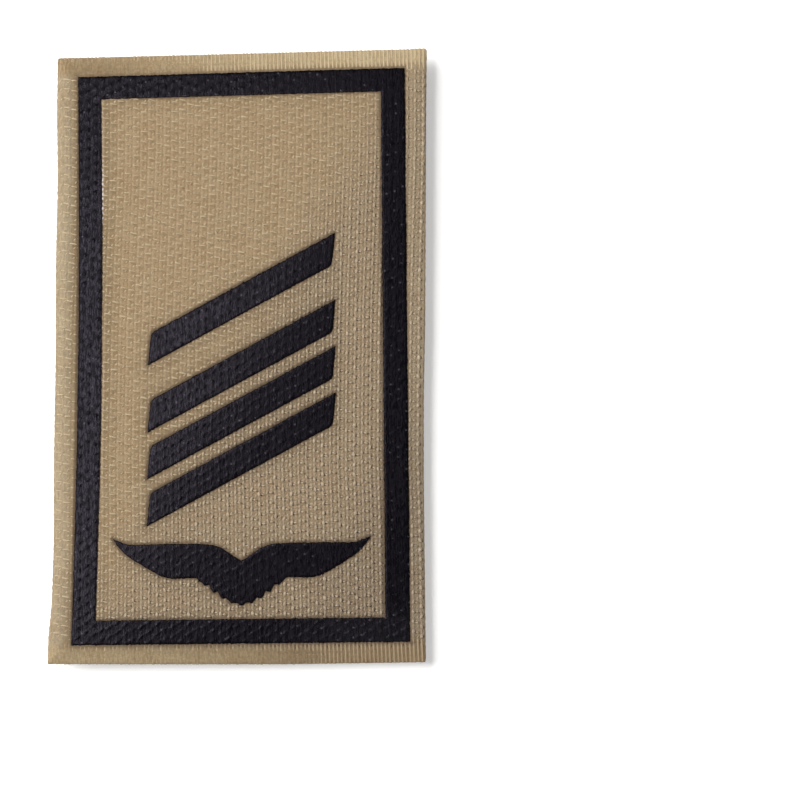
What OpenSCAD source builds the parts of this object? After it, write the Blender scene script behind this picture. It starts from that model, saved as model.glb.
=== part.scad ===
// A printed rank patch for a sleeve or chest: a knitted face cloth with a black printed border,
// four slanting bars and a pair of spread wings, backed by hook tape.
// It lies face up with its hooks on the surface. X runs across the patch, Y along it, Z up.
// The origin is the middle of the patch's outline, at the tips of the hooks.

/* [Patch] */
// Width of the patch at its widest place
patch_w = 50.8; // [48:0.1:60]
// Length of the patch at its longest place
patch_l = 82.8; // [81:0.1:100]
// Radius of the cut corners
corner_r = 0.5; // [0.3:0.1:1.5]
// Thickness of the knitted face cloth
cloth_t = 1.0; // [1:0.1:1.6]
// Width of the pressed rim that slopes down to the cut edge
rim_w = 1.8; // [0.8:0.1:1.8]
// How far the rim lies below the face at the cut edge
rim_drop = 0.45; // [0.1:0.05:0.7]

/* [Hook backing] */
// Thickness of the tape that carries the hooks
tape_t = 0.5; // [0.4:0.1:1]
// Height of the field of hooks under the tape
hook_h = 1.2; // [0.8:0.1:1.6]
// Width of the bare tape between the hooks and the cut edge
bare_w = 1.2; // [0.6:0.1:3]
// How far the tape stays behind the cut edge of the cloth
tape_setback = 0.2; // [0:0.05:0.5]

/* [Printed border] */
// Thickness of the printed film, on the border, the bars and the wings alike
film_t = 0.15; // [0.1:0.05:0.3]
// Width of the border's line
border_line = 3.2; // [1.5:0.1:4]
// Distance from the patch's outer side to the border, on the left
margin_left = 3.2; // [3:0.1:4.5]
// The same on the right
margin_right = 3.0; // [3:0.1:4.5]
// The same at the top
margin_top = 2.85; // [2.4:0.05:4]
// The same at the bottom
margin_bottom = 2.7; // [2.4:0.05:4]
// How far the border's left side bows in at its middle, where the knit has pulled in
border_bow = 0.45; // [0:0.05:0.6]

/* [Bars] */
// Width of each bar from end to end, across the patch
bar_w = 24.7; // [18:0.1:28]
// How much higher a bar's right end is than its left end
bar_rise = 13.1; // [8:0.1:15]
// Height of a bar's end
bar_h = 4.4; // [3:0.1:5]
// How far the bottom of a bar's end stands to the left of its top
bar_lean = 0.45; // [0:0.05:1.5]
// Radius of a bar's two blunt corners
bar_blunt_r = 0.5; // [0.2:0.1:1]
// Place of the bars' middle to the right of the patch's middle
bar_x = 0.28; // [-1:0.02:1]
// Place of the top bar's middle above the patch's middle
top_bar_y = 7.25; // [5:0.05:12]
// Step from the top bar down to the second bar
top_step = 9.1; // [7:0.1:9.5]
// Step from each lower bar down to the next
bar_step = 6.25; // [5.5:0.05:6.4]

/* [Wings] */
// Span of the wings from tip to tip
wing_span = 34.2; // [28:0.1:36]
// Place of the wings' middle to the right of the patch's middle
wing_x = 0.27; // [-1:0.01:1]
// Place of the wing tips below the patch's middle
wing_tip_y = 24.75; // [24:0.05:26]
// Number of feather points on each side of the breast
feathers = 5; // [3:1:7]

/* [Hidden] */

half_w = patch_w / 2;
half_l = patch_l / 2;
tape_z = hook_h;
cloth_z = hook_h + tape_t;
face_z = cloth_z + cloth_t;
cloth_colour = [0.66, 0.58, 0.44];
tape_colour = [0.60, 0.53, 0.40];
film_colour = [0.09, 0.09, 0.10];

// How the scissors ran inside the patch's box, from the low end of each side to its high end.
// Columns: place along the side from -1 to 1, distance inside the box in mm.
left_cut = [[-1, 0], [-0.92, 0.04], [-0.8, 0.45], [-0.6, 0.6], [-0.3, 0.47], [0, 0.54],
    [0.3, 0.39], [0.6, 0.5], [0.8, 0.25], [1, 0.28]];
right_cut = [[-1, 1.03], [-0.4, 1.04], [-0.15, 0.93], [0.1, 0.63], [0.3, 0.5], [0.75, 0.22], [1, 0]];
bottom_cut = [[-1, 0.34], [-0.35, 0.14], [0.2, 0], [1, 0.07]];
top_cut = [[-1, 0], [-0.3, 0.1], [1, 0.19]];
long_steps = 20;
short_steps = 10;
corner_steps = 3;

// The rim's slope. Columns: share of the rim's width, share of the rim's rise.
rim_slope = [[0, 0], [0.35, 0.55], [1, 1]];

// One wing, from its tip to the middle of the pair, as shares of half the span.
// Columns: distance out from the middle, distance down from the tip.
wing_top = [[1, 0], [0.918, 0.032], [0.836, 0.047], [0.544, 0.044], [0.275, 0.050], [0.199, 0.064],
    [0.135, 0.091], [0.070, 0.137], [0, 0.181]];
wing_under = [[1, 0], [0.959, 0.058], [0.895, 0.126], [0.795, 0.193], [0.702, 0.249], [0.632, 0.287],
    [0.573, 0.307], [0.520, 0.313], [0.348, 0.310]];
breast_drop = 0.528;
breast_power = 1.6;
feather_power = 0.9;
feather_nick = 0.006;
wing_steps = 4;

// A curve through the points of a list, with a number of steps between each two.
function curve_at(a, b, c, d, t) =
    0.5 * (2 * b + (c - a) * t + (2 * a - 5 * b + 4 * c - d) * t * t + (3 * b - a - 3 * c + d) * t * t * t);
function curve(points, steps) = let (last = len(points) - 1) [
    for (i = [0 : last - 1])
        for (s = [0 : steps - 1])
            curve_at(points[max(i - 1, 0)], points[i], points[i + 1], points[min(i + 2, last)], s / steps),
    points[last]
];
function backwards(list) = [for (i = [len(list) - 1 : -1 : 0]) list[i]];
function mirrored(points) = [for (p = points) [-p[0], p[1]]];

// A quarter circle at a corner, ending where the next side starts.
function corner(x, y, sx, sy, start) = [
    for (k = [0 : corner_steps])
        let (turn = start - 90 * k / corner_steps)
            [x - sx * corner_r + corner_r * cos(turn), y - sy * corner_r + corner_r * sin(turn)]
];

// The patch's cut outline, clockwise from the upper left corner.
outline = concat(
    corner(-half_w + lookup(1, left_cut), half_l - lookup(-1, top_cut), -1, 1, 180),
    [for (k = [1 : short_steps - 1])
        let (t = -1 + 2 * k / short_steps) [half_w * t, half_l - lookup(t, top_cut)]],
    corner(half_w - lookup(1, right_cut), half_l - lookup(1, top_cut), 1, 1, 90),
    [for (k = [1 : long_steps - 1])
        let (t = 1 - 2 * k / long_steps) [half_w - lookup(t, right_cut), half_l * t]],
    corner(half_w - lookup(-1, right_cut), -half_l + lookup(1, bottom_cut), 1, -1, 0),
    [for (k = [1 : short_steps - 1])
        let (t = 1 - 2 * k / short_steps) [half_w * t, -half_l + lookup(t, bottom_cut)]],
    corner(-half_w + lookup(-1, left_cut), -half_l + lookup(-1, bottom_cut), -1, -1, -90),
    [for (k = [1 : long_steps - 1])
        let (t = -1 + 2 * k / long_steps) [-half_w + lookup(t, left_cut), half_l * t]]
);
function inset(points, d) = [for (p = points) [p[0] * (1 - d / half_w), p[1] * (1 - d / half_l)]];

// A closed solid through level rings, lowest first, each ring clockwise with the same number of points.
module stacked_rings(rings) {
    count = len(rings[0]);
    top = len(rings) - 1;
    points = [for (ring = rings) for (p = ring) p];
    sides = [for (r = [0 : top - 1]) for (i = [0 : count - 1])
        [r * count + i, r * count + (i + 1) % count, (r + 1) * count + (i + 1) % count, (r + 1) * count + i]];
    floor_face = [for (i = [count - 1 : -1 : 0]) i];
    top_face = [for (i = [0 : count - 1]) top * count + i];
    polyhedron(points = points, faces = concat(sides, [floor_face, top_face]), convexity = 4);
}
function at_height(points, z) = [for (p = points) [p[0], p[1], z]];

// The printed border's edge, set in from its outer line by a distance.
border_left = -half_w + margin_left;
border_right = half_w - margin_right;
border_top = half_l - margin_top;
border_bottom = -half_l + margin_bottom;
bow_steps = 8;
function border_edge(d) = concat(
    [for (k = [0 : bow_steps])
        let (t = -1 + 2 * k / bow_steps)
            [border_left + d + border_bow * (1 - t * t),
             border_bottom + d + (border_top - border_bottom - 2 * d) * (t + 1) / 2]],
    [[border_right - d, border_top - d], [border_right - d, border_bottom + d]]
);

// A blunt corner as a short arc of three points, between the points before and after it.
function toward(a, b, d) = a + (b - a) * d / norm(b - a);
function blunted(before, tip, after, r) = let (a = toward(tip, before, r), b = toward(tip, after, r))
    [a, (a + b + 2 * tip) / 4, b];

// A bar's outline round its own middle.
bar_upper_left = [-bar_w / 2 + bar_lean / 2, -bar_rise / 2 + bar_h / 2];
bar_upper_right = [bar_w / 2 + bar_lean / 2, bar_rise / 2 + bar_h / 2];
bar_lower_right = [bar_w / 2 - bar_lean / 2, bar_rise / 2 - bar_h / 2];
bar_lower_left = [-bar_w / 2 - bar_lean / 2, -bar_rise / 2 - bar_h / 2];
bar_outline = concat(
    blunted(bar_lower_left, bar_upper_left, bar_upper_right, bar_blunt_r),
    [bar_upper_right],
    blunted(bar_upper_right, bar_lower_right, bar_lower_left, bar_blunt_r),
    [bar_lower_left]
);
function bar_y(number) = number == 1 ? top_bar_y : top_bar_y - top_step - (number - 2) * bar_step;

// The saw of feather points from the wing's root to the middle of the breast.
// From each point the edge runs level towards the middle, and then drops to the next point.
root = wing_under[len(wing_under) - 1];
function feather_out(k) = root[0] * pow(1 - k / feathers, feather_power);
function feather_down(out) = breast_drop - (breast_drop - root[1]) * pow(out / root[0], breast_power);
function feather_point(k) = [feather_out(k), feather_down(feather_out(k))];
function feather_notch(k) = [(feather_out(k) + feather_out(k + 1)) / 2, feather_down(feather_out(k)) - feather_nick];
saw = [for (k = [1 : feathers]) each k < feathers ? [feather_point(k), feather_notch(k)] : [feather_point(k)]];
half_wing_top = curve(wing_top, wing_steps);
half_wing_under = concat(curve(wing_under, wing_steps), saw);
function without_ends(list) = [for (i = [1 : len(list) - 2]) list[i]];
wing_shares = concat(
    half_wing_under,
    backwards(without_ends(mirrored(half_wing_under))),
    mirrored(half_wing_top),
    backwards(without_ends(half_wing_top))
);
wings_outline = [for (p = wing_shares) [p[0] * wing_span / 2, -p[1] * wing_span / 2]];

// The knitted cloth, flat underneath, with its face level inside the border and a rim that slopes
// down to the cut edge.
module face_cloth() {
    color(cloth_colour)
        stacked_rings(concat(
            [at_height(outline, cloth_z)],
            [for (row = rim_slope)
                at_height(inset(outline, rim_w * row[0]), face_z - rim_drop * (1 - row[1]))]
        ));
}

// The tape and, under it, the field of hooks as one block.
module hook_backing() {
    color(tape_colour)
        union() {
            translate([0, 0, tape_z])
                linear_extrude(tape_t)
                    polygon(inset(outline, tape_setback));
            linear_extrude(hook_h + tape_t)
                polygon(inset(outline, tape_setback + bare_w));
        }
}

// The print lies on the face of the cloth as a thin film.
module film() {
    color(film_colour)
        translate([0, 0, face_z])
            linear_extrude(film_t)
                children();
}

module border_print() {
    film()
        difference() {
            polygon(border_edge(0));
            polygon(border_edge(border_line));
        }
}

module bar(number) {
    film()
        translate([bar_x, bar_y(number)])
            polygon(bar_outline);
}

module bar_1() {
    bar(1);
}

module bar_2() {
    bar(2);
}

module bar_3() {
    bar(3);
}

module bar_4() {
    bar(4);
}

module wings_print() {
    film()
        translate([wing_x, -wing_tip_y])
            polygon(wings_outline);
}

face_cloth();
hook_backing();
border_print();
bar_1();
bar_2();
bar_3();
bar_4();
wings_print();
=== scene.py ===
# %% [markdown]
# # A printed rank patch
# A sleeve patch is a small sandwich. On top lies a warp-knitted face cloth, dyed tan, with a black
# print pressed into it by heat: a border, four slanting bars and a pair of spread wings. Under the
# cloth lies a tape that carries a field of small hooks, and the patch rests on them.
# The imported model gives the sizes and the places. This script dresses it, piece by piece.

# %% Load the frame
import math
import bpy
import numpy as np
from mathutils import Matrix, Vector
from mathutils.geometry import delaunay_2d_cdt


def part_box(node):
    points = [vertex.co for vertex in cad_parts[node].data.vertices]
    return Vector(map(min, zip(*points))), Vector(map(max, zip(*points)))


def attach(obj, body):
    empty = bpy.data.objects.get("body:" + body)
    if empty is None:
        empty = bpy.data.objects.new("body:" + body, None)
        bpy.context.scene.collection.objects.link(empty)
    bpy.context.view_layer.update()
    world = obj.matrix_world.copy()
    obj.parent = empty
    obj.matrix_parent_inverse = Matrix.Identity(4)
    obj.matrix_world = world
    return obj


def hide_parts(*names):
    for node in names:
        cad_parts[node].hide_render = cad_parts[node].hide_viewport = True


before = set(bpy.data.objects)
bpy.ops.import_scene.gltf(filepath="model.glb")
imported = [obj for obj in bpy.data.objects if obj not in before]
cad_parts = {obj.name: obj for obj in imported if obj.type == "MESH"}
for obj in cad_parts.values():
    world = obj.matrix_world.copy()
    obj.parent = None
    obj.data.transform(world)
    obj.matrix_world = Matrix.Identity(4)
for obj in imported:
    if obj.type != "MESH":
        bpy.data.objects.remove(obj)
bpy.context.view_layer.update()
print("solids in the frame:", sorted(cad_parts))

# %% [markdown]
# ## Sizes shared by every piece
# The patch is worked out in millimetres, because a stitch is a fraction of one, and its lengths
# become metres when a mesh is made. Floor, lights and camera are in metres from the start. The
# levels come from the solids themselves, so the dressed pieces lie where the solids lie. Only the
# tape's own thickness and the slope of the pressed rim can't be read from a box, so they are
# repeated here.

# %% Levels and half sizes
MM = 0.001


def solid_box(name):
    """A solid's lowest and highest corner, in millimetres."""
    low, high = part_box(name)
    return np.array(low) / MM, np.array(high) / MM


cloth_low, cloth_high = solid_box("face_cloth")
HALF_W = cloth_high[0]
HALF_L = cloth_high[1]
CLOTH_Z = cloth_low[2]
FACE_Z = cloth_high[2]
TAPE_T = 0.5
TAPE_Z = CLOTH_Z - TAPE_T
RIM_W = 1.8
RIM_DROP = 0.45
print("cloth", round(HALF_W * 2, 2), "x", round(HALF_L * 2, 2), "mm, face at", round(FACE_Z, 3), "mm")

# %% [markdown]
# ## The scissors' line
# The patch was cut by hand along a border of knit, so no side is quite straight. The line could
# be drawn as a curve, but a table of a few numbers is easier to change. Each table holds the place
# along a side, from -1 to 1, and how far inside the patch's box the cut runs there. A few added
# waves, too small to see as waves, keep the cut from looking ruled.

# %% The cut line
LEFT_CUT = np.array([[-1, 0], [-0.92, 0.04], [-0.8, 0.45], [-0.6, 0.6], [-0.3, 0.47], [0, 0.54],
                     [0.3, 0.39], [0.6, 0.5], [0.8, 0.25], [1, 0.28]])
RIGHT_CUT = np.array([[-1, 1.03], [-0.4, 1.04], [-0.15, 0.93], [0.1, 0.63], [0.3, 0.5],
                      [0.75, 0.22], [1, 0]])
BOTTOM_CUT = np.array([[-1, 0.34], [-0.35, 0.14], [0.2, 0], [1, 0.07]])
TOP_CUT = np.array([[-1, 0], [-0.3, 0.1], [1, 0.19]])
CORNER_R = 0.14


def ripple(t, size, seed, longest, shortest=0.6, count=6):
    """A small irregular wave along a line, in millimetres, the same on every run."""
    rng = np.random.default_rng(seed)
    total = np.zeros_like(t, dtype=float)
    for length, phase, weight in zip(np.geomspace(longest, shortest, count),
                                     rng.uniform(0, 2 * np.pi, count),
                                     rng.uniform(0.5, 1.0, count)):
        total += weight * np.sin(2 * np.pi * t / length + phase)
    return size * total / np.sqrt(count)


def cut_left(y):
    wave = ripple(y, size=0.040, seed=11, longest=1.7)
    return -HALF_W + np.interp(y / HALF_L, *LEFT_CUT.T) + wave


def cut_right(y):
    wave = ripple(y, size=0.022, seed=12, longest=2.0)
    return HALF_W - np.interp(y / HALF_L, *RIGHT_CUT.T) + wave


def cut_bottom(x):
    wave = ripple(x, size=0.022, seed=13, longest=2.5)
    return -HALF_L + np.interp(x / HALF_W, *BOTTOM_CUT.T) + wave


def cut_top(x):
    wave = ripple(x, size=0.022, seed=14, longest=2.5)
    return HALF_L - np.interp(x / HALF_W, *TOP_CUT.T) + wave


def from_side(x, y):
    """Distance from the left or the right cut, in millimetres, positive on the patch."""
    return np.minimum(x - cut_left(y), cut_right(y) - x)


def from_end(x, y):
    """Distance from the bottom or the top cut."""
    return np.minimum(y - cut_bottom(x), cut_top(x) - y)


def from_cut(x, y):
    """Distance from the nearest cut of all four."""
    return np.minimum(from_side(x, y), from_end(x, y))


print("the cut lies up to", LEFT_CUT[:, 1].max(), "mm inside the box on the left and",
      RIGHT_CUT[:, 1].max(), "mm on the right")

# %% [markdown]
# ## The set of the cloth
# A patch that has been worn is never quite flat. This one keeps a very shallow fold that runs from
# its upper right corner to its lower left side, so that its upper left half leans to one side and
# its lower right half to the other, by little more than a degree each. A lattice could bend the
# finished pieces. But one height function, added to every piece as it is made, keeps print, yarn
# and hooks on the same curve to the last point.

# %% The shallow fold
FOLD_POINT = np.array([24.4, 41.5])
FOLD_NORMAL = np.array([0.8716, -0.4902])
FOLD_SLOPE = 0.024
FOLD_SOFT = 5.0
FOLD_REACH = 43.35


def across_fold(x, y):
    """Distance from the line of the fold, positive on its lower right side."""
    return (x - FOLD_POINT[0]) * FOLD_NORMAL[0] + (y - FOLD_POINT[1]) * FOLD_NORMAL[1]


def fold_height(x, y):
    """How far the patch stands above its flat place, in millimetres."""
    top = FOLD_SLOPE * math.hypot(FOLD_REACH, FOLD_SOFT)
    return np.maximum(top - FOLD_SLOPE * np.hypot(across_fold(x, y), FOLD_SOFT), 0)


print("the fold lifts the middle by", round(float(fold_height(0.0, 0.0)), 2), "mm")

# %% [markdown]
# ## The knit's own grid
# A warp knit grows in ribs, each a chain of stitches, with a yarn that floats across from rib to rib.
# Everything in the cloth is placed on that grid: a is the distance across the ribs and b the
# distance along them. The patch was not cut true to its knit: the ribs lean and sway by about half
# a millimetre on their way down, the rows lie a little low halfway down and high at both ends, and
# on the left the knit has pulled in at mid height. The knit could be laid out straight and bent
# afterwards by a lattice, but one function of the place serves the cloth, the yarn and the print.

# %% The grid of ribs and rows
RIB = 1.05
REPEAT = 1.30
COURSE = REPEAT / 2
RIBS = 48
GRID_A = RIBS * RIB / 2
GRID_B = 41.275
PULL_IN = 0.45
PULL_REACH = 18.0
FLOAT_ROWS = np.array([1, 3, 0, 2]) / 4
DOT_ROWS = np.array([3, 0, 2, 1]) / 4 + 0.06
SWAY = np.array([[-41, -0.33], [-33, -0.36], [-22, -0.45], [-14, -0.62], [-6, -0.54], [4, -0.40],
                 [11, -0.18], [17, 0.04], [23, 0.24], [28, 0.37], [41, 0.42]])
SPREAD = np.array([[-41, 0.004], [-14, 0.005], [4, 0.010], [20, 0.009], [41, 0.016]])
SLACK = np.array([[-41, -0.40], [-32, -0.26], [-22, 0.22], [-14, 0.30], [-6, 0.34], [6, 0.29],
                  [13, 0.25], [17, 0.21], [23, 0.13], [28, -0.03], [32, -0.17], [41, -0.40]])


def shift(a, b):
    """How far a point of the knit has moved sideways from its even grid, in millimetres."""
    fade = np.clip((PULL_REACH - HALF_W - a) / PULL_REACH, 0, 1)
    pulled = PULL_IN * (1 - np.clip(b / GRID_B, -1, 1) ** 2) * fade * fade * (3 - 2 * fade)
    return pulled + np.interp(b, *SWAY.T) + a * np.interp(b, *SPREAD.T)


def grid_to_patch(a, b):
    return a + shift(a, b), b - np.interp(b, *SLACK.T)


def patch_to_grid(x, y):
    a, b = x, y
    for _ in range(4):
        b = y + np.interp(b, *SLACK.T)
        a = x - shift(a, b)
    return a, b


print(round(10 / RIB, 1), "ribs and", round(10 / COURSE, 1), "courses to the centimetre")

# %% [markdown]
# ## The print's outlines
# The border is a frame of four lines, of which the left one bows in with the knit. The bars are
# slanting bands with two sharp and two blunt corners. The wings are one closed curve through a few
# points, with a saw of feather tips under the breast. These are the same few numbers that the
# solids were made from, and each outline is set against the box of its solid.

# %% The outlines of the border, the bars and the wings
PATCH_HALF = np.array([25.4, 41.4])
BORDER_LINE = 3.2
BORDER_STEPS = 33
LOWER_INSET, UPPER_INSET = np.array([3.2, 2.7]), np.array([3.0, 2.85])
BORDER_BOX = np.concatenate([LOWER_INSET - PATCH_HALF, PATCH_HALF - UPPER_INSET])
BAR_W, BAR_RISE, BAR_H, BAR_LEAN, BAR_BLUNT = 24.7, 13.1, 4.4, 0.45, 0.5
BAR_X = 0.28
BAR_Y = [7.25, -1.85, -8.1, -14.35]
WING_SPAN, WING_X, WING_TIP_Y = 34.2, 0.27, 24.75
WING_TOP = [[1, 0], [0.918, 0.032], [0.836, 0.047], [0.544, 0.044], [0.275, 0.050],
            [0.199, 0.064], [0.135, 0.091], [0.070, 0.137], [0, 0.181]]
WING_UNDER = [[1, 0], [0.959, 0.058], [0.895, 0.126], [0.795, 0.193], [0.702, 0.249],
              [0.632, 0.287], [0.573, 0.307], [0.520, 0.313], [0.348, 0.310]]
FEATHERS, BREAST_DROP, BREAST_POWER, FEATHER_POWER, FEATHER_NICK = 5, 0.528, 1.6, 0.9, 0.006


def border_edge(inset):
    """The border's outer line, or its inner one when it is set in by the width of the line."""
    left, low, right, high = BORDER_BOX + inset * np.array([1, 1, -1, -1])
    t = np.linspace(-1, 1, BORDER_STEPS)
    side = np.stack([left + PULL_IN * (1 - t * t), low + (high - low) * (t + 1) / 2], 1)
    return np.concatenate([side, [[right, high], [right, low]]])


def blunted(before, tip, after, size):
    """Three points that take the place of a sharp tip."""
    a = tip + (before - tip) * size / np.linalg.norm(before - tip)
    b = tip + (after - tip) * size / np.linalg.norm(after - tip)
    return [a, (a + b + 2 * tip) / 4, b]


def bar_outline(middle_y):
    w, r, h, k = BAR_W / 2, BAR_RISE / 2, BAR_H / 2, BAR_LEAN / 2
    upper_left, upper_right = np.array([-w + k, -r + h]), np.array([w + k, r + h])
    lower_right, lower_left = np.array([w - k, r - h]), np.array([-w - k, -r - h])
    loop = blunted(lower_left, upper_left, upper_right, BAR_BLUNT) + [upper_right]
    loop += blunted(upper_right, lower_right, lower_left, BAR_BLUNT) + [lower_left]
    return np.array(loop) + [BAR_X, middle_y]


def curve_through(points, steps=4):
    """A smooth curve through the points of a list."""
    p = np.array(points, float)
    out = []
    for i in range(len(p) - 1):
        a, b, c, d = p[max(i - 1, 0)], p[i], p[i + 1], p[min(i + 2, len(p) - 1)]
        for t in np.arange(steps) / steps:
            out.append(0.5 * (2 * b + (c - a) * t + (2 * a - 5 * b + 4 * c - d) * t ** 2
                              + (3 * b - a - 3 * c + d) * t ** 3))
    return out + [p[-1]]


def wings_outline():
    root_out, root_down = WING_UNDER[-1]

    def down_at(out):
        return BREAST_DROP - (BREAST_DROP - root_down) * (out / root_out) ** BREAST_POWER

    tips = [root_out * (1 - k / FEATHERS) ** FEATHER_POWER for k in range(1, FEATHERS + 1)]
    saw = []
    for k, out in enumerate(tips):
        saw.append([out, down_at(out)])
        if k + 1 < FEATHERS:
            saw.append([(out + tips[k + 1]) / 2, down_at(out) - FEATHER_NICK])
    under = np.array(curve_through(WING_UNDER) + saw)
    top = np.array(curve_through(WING_TOP))
    flip = np.array([-1, 1])
    shares = np.concatenate([under, (under * flip)[1:-1][::-1], top * flip, top[1:-1][::-1]])
    return shares * [WING_SPAN / 2, -WING_SPAN / 2] + [WING_X, -WING_TIP_Y]


PRINTS = {"border_print": [border_edge(0), border_edge(BORDER_LINE)]}
for number, middle_y in enumerate(BAR_Y, 1):
    PRINTS[f"bar_{number}"] = [bar_outline(middle_y)]
PRINTS["wings_print"] = [wings_outline()]
for name, loops in PRINTS.items():
    low, high = solid_box(name)
    miss = max(abs(loops[0].min(0) - low[:2]).max(), abs(loops[0].max(0) - high[:2]).max())
    print(name, "outline is within", round(float(miss), 3), "mm of its solid's box")

# %% [markdown]
# ## Where the cloth is printed
# The hot press pushes the film down into the knit, so the cloth has to know how far each of its
# points is from the print. A painted mask would be as coarse as its picture. Here one function
# gives the exact distance to a closed line, positive inside, and the next takes the deepest of all
# the prints.

# %% Distance from the print


def depth_inside(points, loop):
    """Distance from each point to a closed line in millimetres, positive inside it."""
    best = np.full(len(points), np.inf)
    inside = np.zeros(len(points), bool)
    for p, q in zip(loop, np.roll(loop, -1, axis=0)):
        edge = q - p
        share = np.clip(((points - p) @ edge) / (edge @ edge), 0, 1)
        gap = points - p - share[:, None] * edge
        best = np.minimum(best, np.hypot(gap[:, 0], gap[:, 1]))
        if p[1] != q[1]:
            crosses = (p[1] > points[:, 1]) != (q[1] > points[:, 1])
            at_x = p[0] + (points[:, 1] - p[1]) * edge[0] / edge[1]
            inside ^= crosses & (points[:, 0] < at_x)
    return np.where(inside, best, -best)


def depth_of_print(points, loops):
    depth = depth_inside(points, loops[0])
    for hole in loops[1:]:
        depth = np.minimum(depth, -depth_inside(points, hole))
    return depth


def print_depth(x, y):
    """How deep each point lies inside the print, negative on bare cloth."""
    points = np.stack([np.ravel(x), np.ravel(y)], 1)
    depth = np.max([depth_of_print(points, loops) for loops in PRINTS.values()], axis=0)
    return depth.reshape(np.shape(x))


def ease(value, low, high):
    """Goes smoothly from 0 at low to 1 at high."""
    t = np.clip((value - low) / (high - low), 0, 1)
    return t * t * (3 - 2 * t)


print("the middle of the patch lies", round(float(print_depth(0.0, 0.0)), 2), "mm deep in a bar")

# %% [markdown]
# ## Where the knit opens
# Below and to the right of the fold the cloth is stretched: its ribs stand out and the windows
# between them open into pits, darkened with painted shade. Above and to the left it is eased, and the
# face looks smooth. The open side's tans are also darker, partly as painted shade for the half
# that the fold turns away from the light.
# One mask says how far the knit is open, from 0 to 1, and shapes and finishes both use it. It could
# be painted, but a table across the fold takes only a few numbers. Its first column is in
# millimetres, and it rises steeply at the fold itself.

# %% How open the knit is
OPENING = np.array([[-38, 0], [-20, 0.04], [-4, 0.14], [0, 0.42], [4, 0.72], [10, 0.78], [20, 0.84],
                    [28, 1.0]])


def openness(x, y):
    return np.interp(across_fold(x, y), *OPENING.T)


print("open by", round(float(openness(0.0, 0.0)), 2), "in the middle of the patch")

# %% [markdown]
# ## Painted shade and highlights along the print
# A brown shade is painted along the print, on the cloth that dips under the film's edge. It is a
# little weaker on the sides that face the light and on the left and top rims, and wider below the
# border. Towards the left, the sides that face the light get painted highlights instead, like
# small pale pearls on the loops. All this could be painted by hand, but then a moved bar would
# leave its shade behind. So it is worked out from the direction in which the print's depth grows,
# set against the way to the light, and every cloth piece keeps it for its material.

# %% The painted shade and highlights along the print
LIGHT_WAY = np.array([-0.86, 0.51])
PALE_REACH, SHADE_REACH, BELOW_REACH = 0.46, 0.64, 1.0
PEARLY_X, PEARLY_FACING = -14.0, 0.5
SHADE, LIT_SIDE, RIM_SHARE, BELOW_SHADE = 0.78, 0.15, 0.7, 1.3
SLOPE_STEP = 0.02


def paint_edge_shading(x, y, depth):
    """From -1, painted shade, to 1, painted highlight, beside the print, and 0 away from it."""
    x, y, depth = np.ravel(x), np.ravel(y), np.ravel(depth)
    near = np.abs(depth) < BELOW_REACH
    slope_x = (print_depth(x[near] + SLOPE_STEP, y[near]) - depth[near]) / SLOPE_STEP
    slope_y = (print_depth(x[near], y[near] + SLOPE_STEP) - depth[near]) / SLOPE_STEP
    trace = np.zeros(x.size)
    facing = slope_x * LIGHT_WAY[0] + slope_y * LIGHT_WAY[1]
    below = (y[near] < BORDER_BOX[1]) & (facing > 0)
    at_rim = (y[near] > BORDER_BOX[3]) | (x[near] < BORDER_BOX[0])
    pearly = (x[near] < PEARLY_X) & (facing > PEARLY_FACING) & ~below
    tone = np.where(at_rim, RIM_SHARE, 1.0) * (LIT_SIDE * facing - SHADE)
    tone = np.where(below, -BELOW_SHADE * facing, np.where(pearly, facing, tone))
    reach = np.where(below, BELOW_REACH, np.where(pearly, PALE_REACH, SHADE_REACH))
    trace[near] = tone * ease(-depth[near] / reach, 1.0, 0.0)
    return trace


print("the shade is", SHADE_REACH, "mm wide, and", BELOW_REACH, "mm below the border")

# %% [markdown]
# Further out the cloth is darkened a little with painted shade, for a few millimetres round the
# print. It is deepest in the strips between the bars, deeper at the upper left and under the wings,
# and weaker along the right side.

# %% The painted shade near the print
NEAR_REACH = 3.5
NEAR_TONE, CORNER_TONE, RIGHT_TONE, BARS_TONE = 0.6, 0.4, 0.2, 0.5
LEFT_FROM, UP_FROM, RIGHT_FROM = (12, 19), (-20, 0), (8, 20)
WINGS_DOWN, WINGS_IN = (24, 33), (16, 2)
BARS_LOW, BARS_HIGH, BARS_SIDE = (-18, -17), (5.6, 5.0), (14, 12.5)


def painted_shade_near_print(x, y, depth):
    """How much painted shade the print near a point lays on the cloth, 0 where it lies out of reach."""
    upper_left = ease(-x, *LEFT_FROM) * ease(y, *UP_FROM)
    under_wings = ease(-y, *WINGS_DOWN) * ease(x, *WINGS_IN)
    bar_level = y - (x - BAR_X) * BAR_RISE / BAR_W
    among_bars = ease(bar_level, *BARS_LOW) * ease(bar_level, *BARS_HIGH)
    among_bars *= ease(np.abs(x - BAR_X), *BARS_SIDE)
    corners = np.maximum(upper_left, under_wings)
    deeper = CORNER_TONE * corners - RIGHT_TONE * ease(x, *RIGHT_FROM) + BARS_TONE * among_bars
    return ease(-depth, NEAR_REACH, 0.0) * (NEAR_TONE + deeper)


# How deep the painted shade is between two bars.
print("dulled by", round(float(painted_shade_near_print(0.0, BAR_Y[1] + BAR_H, -1.0)), 2), "between two bars")

# %% [markdown]
# ## The level of the cloth
# Four things set the height of the cloth at a point: the rim that the press has flattened down to
# the cut edge, the print that sinks into it, the fold, and the relief of the knit. Here is the
# level without the relief. The yarn pieces use it too, so that they lie on the cloth.

# %% The smooth level of the cloth
PRESS_DEPTH, PRESS_REACH = 0.12, 0.30
RIM_ROUND = 1.8
RIGHT_KEPT, RIGHT_KEPT_AT = 0.55, (2.4, 1.2)


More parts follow.
